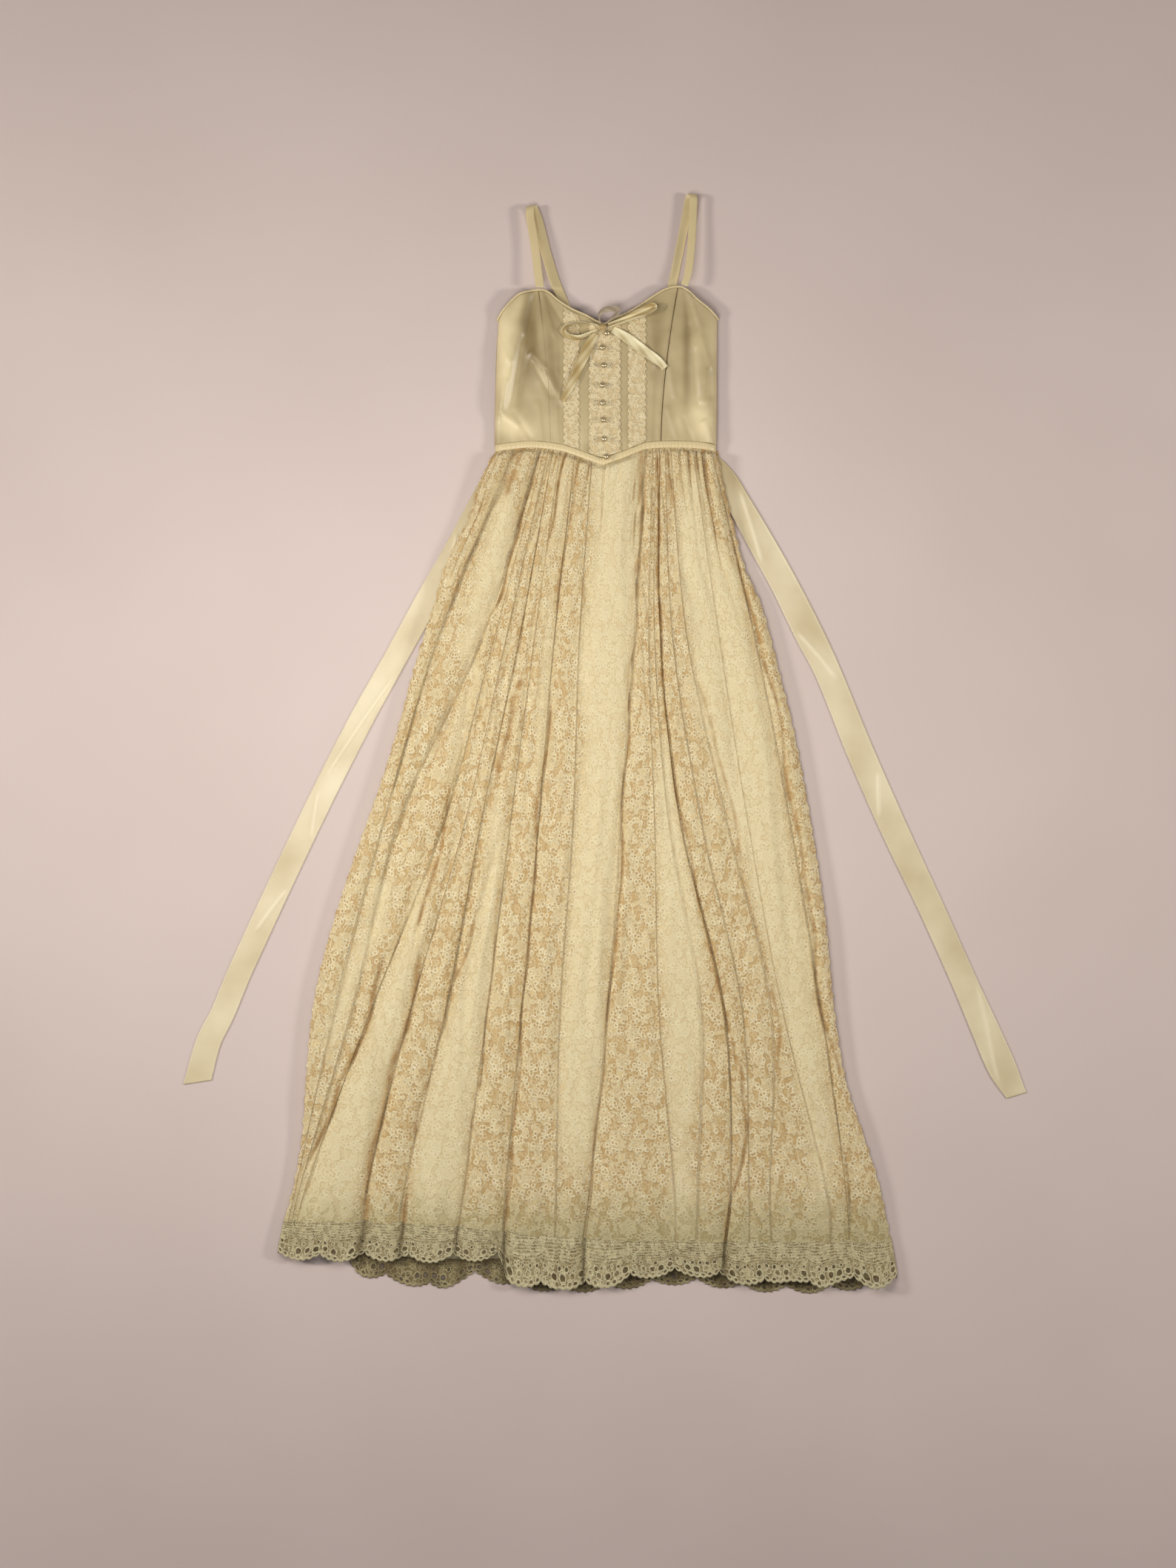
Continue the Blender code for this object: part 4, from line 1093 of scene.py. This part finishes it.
def lay_panel(left_low, right_low, left_top, right_top):
    """One panel's shape, its seamed edges turned down; the left seam is closed and flat."""
    def lay(across, up):
        wide = right_low - left_low
        open_left = SEAM_OPEN * (left_low != LEFT_SEAM)
        open_right = SEAM_OPEN * (right_low != LEFT_SEAM)
        low_x = left_low + open_left + (wide - open_left - open_right) * across
        top_x = left_top + open_left + (right_top - left_top - open_left - open_right) * across
        x = between(low_x, top_x, up ** 1.7)
        rise = between(bodice_bottom(low_x), loom.table(NECKLINE, 1, top_x), up)
        from_left = across * wide if left_low > WAIST_ENDS[0] else NO_SEAM
        from_right = (1 - across) * wide if right_low < WAIST_ENDS[1] else NO_SEAM
        seam = np.exp(-np.minimum(from_left, from_right) / 1.1)
        at_left_seam = abs(x - LEFT_SEAM - 2) < LEFT_SEAM_REACH
        seam = seam * np.where(at_left_seam, 0.15 + 0.5 * ease((rise - 150) / 30), 1.0)
        reach = ease((inset(x, *bodice_edges(rise)) - 1) / 10)
        gather = 0.35 * np.sin(x / 2.3 + 1.5 * np.sin(rise / 27)) * np.exp(-(rise - 6) / 14)
        small = folded(x, rise, SMALL_FOLDS) + gather
        z = bodice_form(x, rise) + small * reach - SEAM_DEPTH * seam
        # Painted sheen from the spots above, made darker along the turned-down seams.
        return x, rise, z, {"tone_and_painted_light": bodice_painted_light(x, rise) - 0.25 * seam}
    return lay


for name, left_low, right_low, left_top, right_top, columns in BODICE_PANELS:
    panel = loom.weave(name, columns, 130, lay_panel(left_low, right_low, left_top, right_top),
                       satin, SATIN_THICK)
    wide = (right_low - left_low) * MM * 1.12
    sewn(panel, [name])


# Lace bands. Three bands of corded lace with pointed edges, laid on the centre front
# from the neckline down to the waistband.
LACE_BANDS = (
    # name, left, right
    ("lace_band_left", -53, -31), ("lace_band_centre", -20, 23), ("lace_band_right", 31, 56),
)
BAND_POINT = 9.0
BAND_POINT_DEPTH = 2.6
BAND_LIFT = 1.15

band_finish, band_lace, colour = lace_finish(
    "lace_band",
    dye(230, 212, 168), dye(219, 199, 154), dye(196, 170, 122), dye(246, 234, 196), 0.6,
)
band_finish.set("Base Color", colour)
band_finish.bump(band_lace.motif + band_lace.rim * 0.6, 0.6)


def lay_band(left, right):
    """A band's shape: small points along both edges, over the bodice's folds."""
    def lay(across, up):
        x = between(left, right, across)
        top = loom.table(NECKLINE, 1, x) - 2.5
        rise = between(bodice_bottom(x) + 0.5, top, up)
        edge = abs(2 * across - 1) ** 3 * np.sign(across - 0.5)
        x = x - edge * BAND_POINT_DEPTH * (1 - abs(np.sin(np.pi * rise / BAND_POINT)))
        z = bodice_form(x, rise) + folded(x, rise, SMALL_FOLDS) + BAND_LIFT
        z = z + 0.15 * np.sin(rise / 3.1) * np.sin(across * 9) - 0.35 * abs(2 * across - 1) ** 8
        return x, rise, z, {"u": x, "v": rise}
    return lay


for name, left, right in LACE_BANDS:
    band = loom.weave(name, 30, 240, lay_band(left, right), band_finish, 0.35)
    wide = (right - left) * MM
    sewn(band, [name])


# Piping. A thin satin cord sewn along the neckline and both armholes, just outside the
# panels' top edges.
PIPING = 1.4
PIPING_ENDS = (-137.6, 149)
PIPING_OUT = 1.6


def tube(name, columns, around, centre, finish, radii=(PIPING, PIPING)):
    """A closed tube along a line given by centre(share): x, rise, z."""
    def lay(across, up):
        x, rise, z = centre(across)
        ahead_x, ahead_rise, _ = centre(across + 0.002)
        run_x, run_rise = ahead_x - x, ahead_rise - rise
        length = np.hypot(run_x, run_rise)
        turn = 2 * np.pi * up
        side = np.cos(turn) * radii[0]
        z = z - np.sin(turn) * radii[1]
        return x - run_rise / length * side, rise + run_x / length * side, z, {}
    piece = loom.weave(name, columns, around, lay, finish)
    seam = piece.modifiers.new("seam", "WELD")
    seam.merge_threshold = 0.02 * MM
    return piece


def piping_line(share):
    """The cord's centre line."""
    x = between(*PIPING_ENDS, share)
    rise = loom.table(NECKLINE, 1, x)
    slope = loom.table(NECKLINE, 1, x + 0.5) - loom.table(NECKLINE, 1, x - 0.5)
    length = np.hypot(slope, 1)
    z = bodice_form(x, rise) - 0.7 + 0.15 * np.sin(share * 400)
    return x - slope / length * PIPING_OUT, rise + PIPING_OUT / length, z


cord_satin = satin_finish("piping_satin", dye(208, 188, 140), dye(232, 216, 172), 0.4)
piping = tube("neck_piping", 460, 10, piping_line, cord_satin)
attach(piping, "root")
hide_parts("neck_piping")


# Waistband. A narrow folded ribbon sewn over the seam, dipping to a point at the centre
# front, with a flat strip at the back.
WAISTBAND_ENDS = (-142, 147)
WAISTBAND_WIDTH = 9.2
WAISTBAND_BACK_WIDTH = 8.6
ribbon_finish = satin_finish("ribbon_satin", dye(210, 191, 143), dye(230, 214, 170), 0.36)


def lay_waistband(across, up):
    """The front ribbon, round across its width, with small puckers at its stitches."""
    x = between(*WAISTBAND_ENDS, across)
    rise = loom.table(WAIST_LINE, 1, x) + (up - 0.5) * WAISTBAND_WIDTH
    lift = 1.2 - 0.9 * (2 * up - 1) ** 2 + 0.3 * bell((up - 0.82) / 0.08)
    pucker = 0.22 * np.sin(across * 380 + 3 * np.sin(across * 40)) * (1 - abs(2 * up - 1))
    return x, rise, bodice_form(x, np.zeros_like(x)) + lift + pucker, {}


waistband = loom.weave("waistband_front", 420, 12, lay_waistband, ribbon_finish, 0.6)
sewn(waistband, ["waistband_front"])


def lay_waistband_back(across, up):
    """The back strip, flat under the waist."""
    z = 0.3 + 0.3 * np.sin(across * 170) ** 2
    return between(*WAISTBAND_ENDS, across), (up - 0.5) * WAISTBAND_BACK_WIDTH, z, {}


waistband_back = loom.weave("waistband_back", 300, 4, lay_waistband_back, ribbon_finish, 0.5, 1.0)
sewn(waistband_back, ["waistband_back"])


# Straps. Two narrow satin straps, each up from its cup, folded over at the tip and back
# down under the neckline to the back.
STRAPS = (
    # name, width of the cut in metres, and its line
    ("strap_left", 0.0117, (
        # x, rise, z, width, turn of the width in degrees
        (-83, 208.8, 17.5, 11, -3), (-85, 225, 16.5, 11, 5), (-89, 259, 14.5, 11, 6),
        (-93, 285, 13.0, 11, 7), (-96, 303, 12.2, 11, 8), (-96, 312, 12.0, 11, 10),
        (-94, 317, 8.8, 11, 12), (-91, 312, 5.6, 12, 14), (-86, 298, 5.2, 13, 16),
        (-76, 259, 4.4, 13, 16), (-64, 220, 3.6, 13, 17), (-52, 190, 2.6, 13, 17),
        (-41, 156.4, 0.7, 13, 0),
    )),
    ("strap_right", 0.0105, (
        (105, 211.5, 17.5, 9, -20), (110, 228, 16.5, 10, -8), (114, 262, 14.5, 10, -5),
        (116, 295, 13.0, 10, -4), (117, 318, 12.2, 10, -3), (117, 327, 12.0, 10, -4),
        (115, 332, 8.8, 10, -6), (112, 327, 5.6, 11, -8), (109, 310, 5.2, 11, -10),
        (104, 284, 4.4, 11, -11), (95, 239, 3.6, 11, -12), (87, 200, 2.6, 11, -12),
        (78, 156.4, 0.7, 11, 0),
    )),
)
strap_satin = satin_finish("strap_satin", dye(206, 186, 136), dye(232, 216, 172), 0.34)


def stations_of(rows, parts):
    """How far along a line each of its places lies."""
    steps = [math.dist(a[:parts], b[:parts]) for a, b in zip(rows, rows[1:])]
    return [0.0, *np.cumsum(steps)]


def values_at(rows, stations, run):
    """All the values of a line's rows at a place along it."""
    return [loom.line(stations, column, run) for column in zip(*rows)]


def follow(rows, run, step=1):
    """The values along a line of x and rise, and the direction across it."""
    stations = stations_of(rows, 2)
    values = values_at(rows, stations, run)
    ahead = values_at(rows, stations, run + step)
    run_x, run_rise = ahead[0] - values[0], ahead[1] - values[1]
    length = np.hypot(run_x, run_rise)
    return *values, -run_rise / length, run_x / length


def lay_strap(rows):
    """A strap's shape, its two edges turned in."""
    stations = stations_of(rows, 3)

    def lay(across, up):
        run = across * stations[-1]
        x, rise, z, width, turn = values_at(rows, stations, run)
        half = (0.5 - up) * width
        turn = np.radians(turn)
        tuck = -0.5 * abs(2 * up - 1) ** 4 + 0.35 * np.sin(run / 19 + up * 3)
        tuck = tuck * fading(run, 0, stations[-1], 40)
        return x + half * np.cos(turn), rise + half * np.sin(turn), z + tuck, {}
    return lay


for name, wide, rows in STRAPS:
    strap = loom.weave(name, 260, 10, lay_strap(rows), strap_satin, 0.8, 0.0)
    sewn(strap, [name])


# Sash ties. Two long satin ties from the side seams, lying flat on the floor, hemmed on
# both sides, with slanting ends and a few slanting wrinkles.
SASHES = (
    # lift at the waist, x, drop and width, slant of the end, wrinkles: from, to, and sides
    ("sash_left", 0.0, (
        (-135, 7, 12), (-147, 40, 26), (-190, 126, 31), (-230, 196, 31), (-274, 276, 30),
        (-320, 359, 31), (-382, 482, 31), (-474, 679, 31), (-500, 741, 31), (-517, 775, 32),
        (-532, 829, 34),
    ), -15, (
        (330, 470, 0.3, -0.2), (505, 560, -0.2, 0.35), (640, 700, 0.3, -0.1), (120, 190, -0.3, 0.3),
    )),
    ("sash_right", 0.7, (
        (142, 9, 12), (159, 36, 26), (176, 68, 31), (206, 121, 34), (236, 175, 35),
        (268, 239, 37), (294, 292, 34), (335, 393, 35), (382, 500, 35), (429, 600, 33),
        (472, 696, 33), (500, 760, 36), (522, 810, 37), (541, 846, 26),
    ), 5, (
        (60, 150, 0.3, -0.3), (260, 330, -0.3, 0.2), (470, 520, 0.3, -0.3), (780, 900, 0.35, -0.35),
    )),
)
SASH_LIE = 0.75
SASH_HEM = 0.35
SASH_WRINKLE = 1.1
sash_satin = satin_finish("sash_satin", dye(192, 173, 128), dye(243, 232, 199), 0.42, "tone_and_painted_light")


def lay_sash(lift, rows, slant, wrinkles):
    """A tie's shape: thicker hems, a slanting end, and single slanting wrinkles."""
    line = [(x, -drop, width) for x, drop, width in rows]
    long = stations_of(line, 2)[-1]

    def lay(across, up):
        run = across * (long + slant * (up - 0.5) * across)
        x, rise, width, side_x, side_rise = follow(line, run)
        half = (up - 0.5) * width
        z = SASH_LIE + lift * bell(rise / 160)
        z = z + SASH_HEM * ease((abs(2 * up - 1) - 0.86) / 0.06)
        z = z + 0.25 * np.sin(run / 47 + 1.2 * np.sin(run / 21)) * np.sin(up * 3.1)
        for start, stop, low, high in wrinkles:
            share = (run - start) / (stop - start)
            away = (up - 0.5 - low - (high - low) * share) * width
            z = z + SASH_WRINKLE * fading(share, 0, 1, 0.2, 0.5) * bell(away / 2.6)
        # Painted light: brighter on the wrinkles' crests, a painted shadow near the waist where the
        # skirt's edge lies over the tie, and a slow painted sheen along it.
        tone_and_painted_light = 0.68 + 0.3 * (z - 1.0) - bell(rise / 75)
        tone_and_painted_light = tone_and_painted_light + 0.18 * np.sin(run / 83 + up * 2.2) * np.sin(run / 37 + 1)
        return x + side_x * half, rise + side_rise * half, z, {"tone_and_painted_light": tone_and_painted_light}
    return lay


for name, lift, rows, slant, wrinkles in SASHES:
    sash = loom.weave(name, 420, 26, lay_sash(lift, rows, slant, wrinkles), sash_satin, 0.55)
    sewn(sash, [name])


# Bow. One satin ribbon tied at the neck point: two standing loops, a small loop behind
# the knot, and two tails lying on the lace.
LACE_TOP = 1.9
BOW_BEND = 170
BOW_LOOPS = (
    # name, height on its edge, and its line
    ("bow_loop_right", 6, (
        # x, rise
        (6, 161), (22, 167), (40, 175), (55, 182), (64, 185), (67, 182), (60, 177),
        (44, 171), (27, 164), (7, 157),
    )),
    ("bow_loop_left", 7, (
        (-8, 160), (-20, 162), (-36, 162), (-48, 158), (-52, 151), (-46, 145), (-34, 143),
        (-22, 147), (-9, 154),
    )),
    ("bow_loop_back", 6, (
        (-3.5, 160.8), (-6, 171), (-2, 178), (8, 181), (18, 180), (17, 173), (9, 167), (1.5, 160.8),
    )),
)
BOW_TAILS = (
    # name, how bright its painted light is, and its line
    ("bow_tail_right", 0.75, (
        # x, rise, width
        (12, 154, 9), (29, 144, 12), (44, 133, 12), (58, 122, 12), (69, 114, 11), (76, 108, 9),
        (80, 103, 9),
    )),
    ("bow_tail_left", 0.22, (
        (-11, 149, 8), (-18, 136, 12), (-25, 121, 13), (-33, 104, 12), (-41, 86, 11),
        (-48, 71, 9), (-53, 61, 8),
    )),
)
bow_satin = satin_finish("bow_satin", dye(174, 148, 94), dye(248, 239, 198), 0.27, "tone_and_painted_light")


def lay_loop(tall, rows):
    """A loop on its edge, leaning outwards, with soft pleats at the knot."""
    long = stations_of(rows, 2)[-1]

    def lay(across, up):
        x, rise, side_x, side_rise = follow(rows, across * long, 0.5)
        middle = np.sin(np.pi * across)
        lean = (up - 0.55) * 6.5 * middle + 0.5 * np.sin(up * 9 + across * 14) * (1 - middle)
        z = bodice_form(x, np.minimum(rise, BOW_BEND)) + LACE_TOP + (up * 0.8 + 0.1) * tall
        z = z + 0.5 * np.sin(across * 11) * up
        # Painted sheen: bright and dark bands along and across the loop.
        tone_and_painted_light = 0.55 + 0.5 * np.sin(across * 6.3 + up * 2.6) + 0.2 * np.sin(across * 31 + up * 5)
        return x + side_x * lean, rise + side_rise * lean, z, {"tone_and_painted_light": tone_and_painted_light}
    return lay


shaded_satin = satin_finish("bow_back_satin", dye(150, 134, 112), dye(196, 182, 158), 0.4, "tone_and_painted_light")
for name, tall, rows in BOW_LOOPS:
    cloth = shaded_satin if name == "bow_loop_back" else bow_satin
    loop = loom.weave(name, 150, 12, lay_loop(tall, rows), cloth, 0.5, 0.0)
    sewn(loop, [name])


def lay_tail(painted_brightness, rows):
    """A tail along its centre line, cupped across, with a twist along it."""
    long = stations_of(rows, 2)[-1]

    def lay(across, up):
        x, rise, width, side_x, side_rise = follow(rows, across * long)
        half = (up - 0.5) * width
        cup = 1.3 * (2 * up - 1) ** 2 * np.sin(np.pi * across)
        twist = 1.1 * (up - 0.5) * np.sin(across * 7)
        x = x + side_x * half
        rise = rise + side_rise * half
        # Painted light: the tail's own brightness, with bright and dark patches along it and one edge
        # lighter than the other.
        tone_and_painted_light = painted_brightness + 0.35 * np.sin(across * 17 + up * 4) * np.sin(up * 5) + 0.3 * (up - 0.5)
        return x, rise, bodice_form(x, rise) + LACE_TOP + 1 + cup + twist, {"tone_and_painted_light": tone_and_painted_light}
    return lay


for name, painted_brightness, rows in BOW_TAILS:
    tail = loom.weave(name, 120, 16, lay_tail(painted_brightness, rows), bow_satin, 0.45)
    sewn(tail, [name])


def rounded(name, centre, sizes, finish, around=32, rings=20):
    """A rounded body standing at its centre: a pearl or the bow's knot."""
    body = bmesh.new()
    bmesh.ops.create_uvsphere(body, u_segments=around, v_segments=rings, radius=1.0)
    for knot in body.verts:
        knot.co = lie(*(c + k * s for c, k, s in zip(centre, knot.co, sizes)))
    piece = made(name, body, finish)
    piece.data.shade_smooth()
    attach(piece, "root")
    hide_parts(name)
    return piece


def bodice_height(x, rise):
    """Height of the bodice at one place."""
    return float(bodice_form(np.array([float(x)]), np.array([float(rise)]))[0])


KNOT = (5.0, 3.8, 2.6)
knot_z = bodice_height(-1, 157) + LACE_TOP + KNOT[2]
bow_knot = rounded("bow_knot", (-1, 157, knot_z), KNOT, bow_satin)


# Pearl buttons. Eight round pearls with a soft gloss, sewn on down the centre front, the
# last one on the waistband.
PEARLS = (
    # x, rise
    (4, 149), (-2, 130), (0, 107), (-2, 81), (-2, 58), (-1, 36), (0, 11), (3, -12),
)
PEARL = (4.0, 4.0, 3.4)
PEARL_SEAT = 1.85
pearl_finish = Finish("pearl", dye(196, 180, 140), 0.14)
pearl_finish.set("Base Color", pearl_finish.blend(
    dye(172, 150, 108), dye(214, 200, 166), pearl_finish.noise(pearl_finish.place(), 160.0)))
pearl_finish.set("Metallic", 0.5)
pearl_finish.set("Coat Weight", 0.6)

for number, (x, rise) in enumerate(PEARLS, 1):
    z = bodice_height(x, max(rise, 0)) + PEARL_SEAT + PEARL[2]
    pearl = rounded(f"pearl_button_{number}", (x, rise, z), PEARL, pearl_finish)
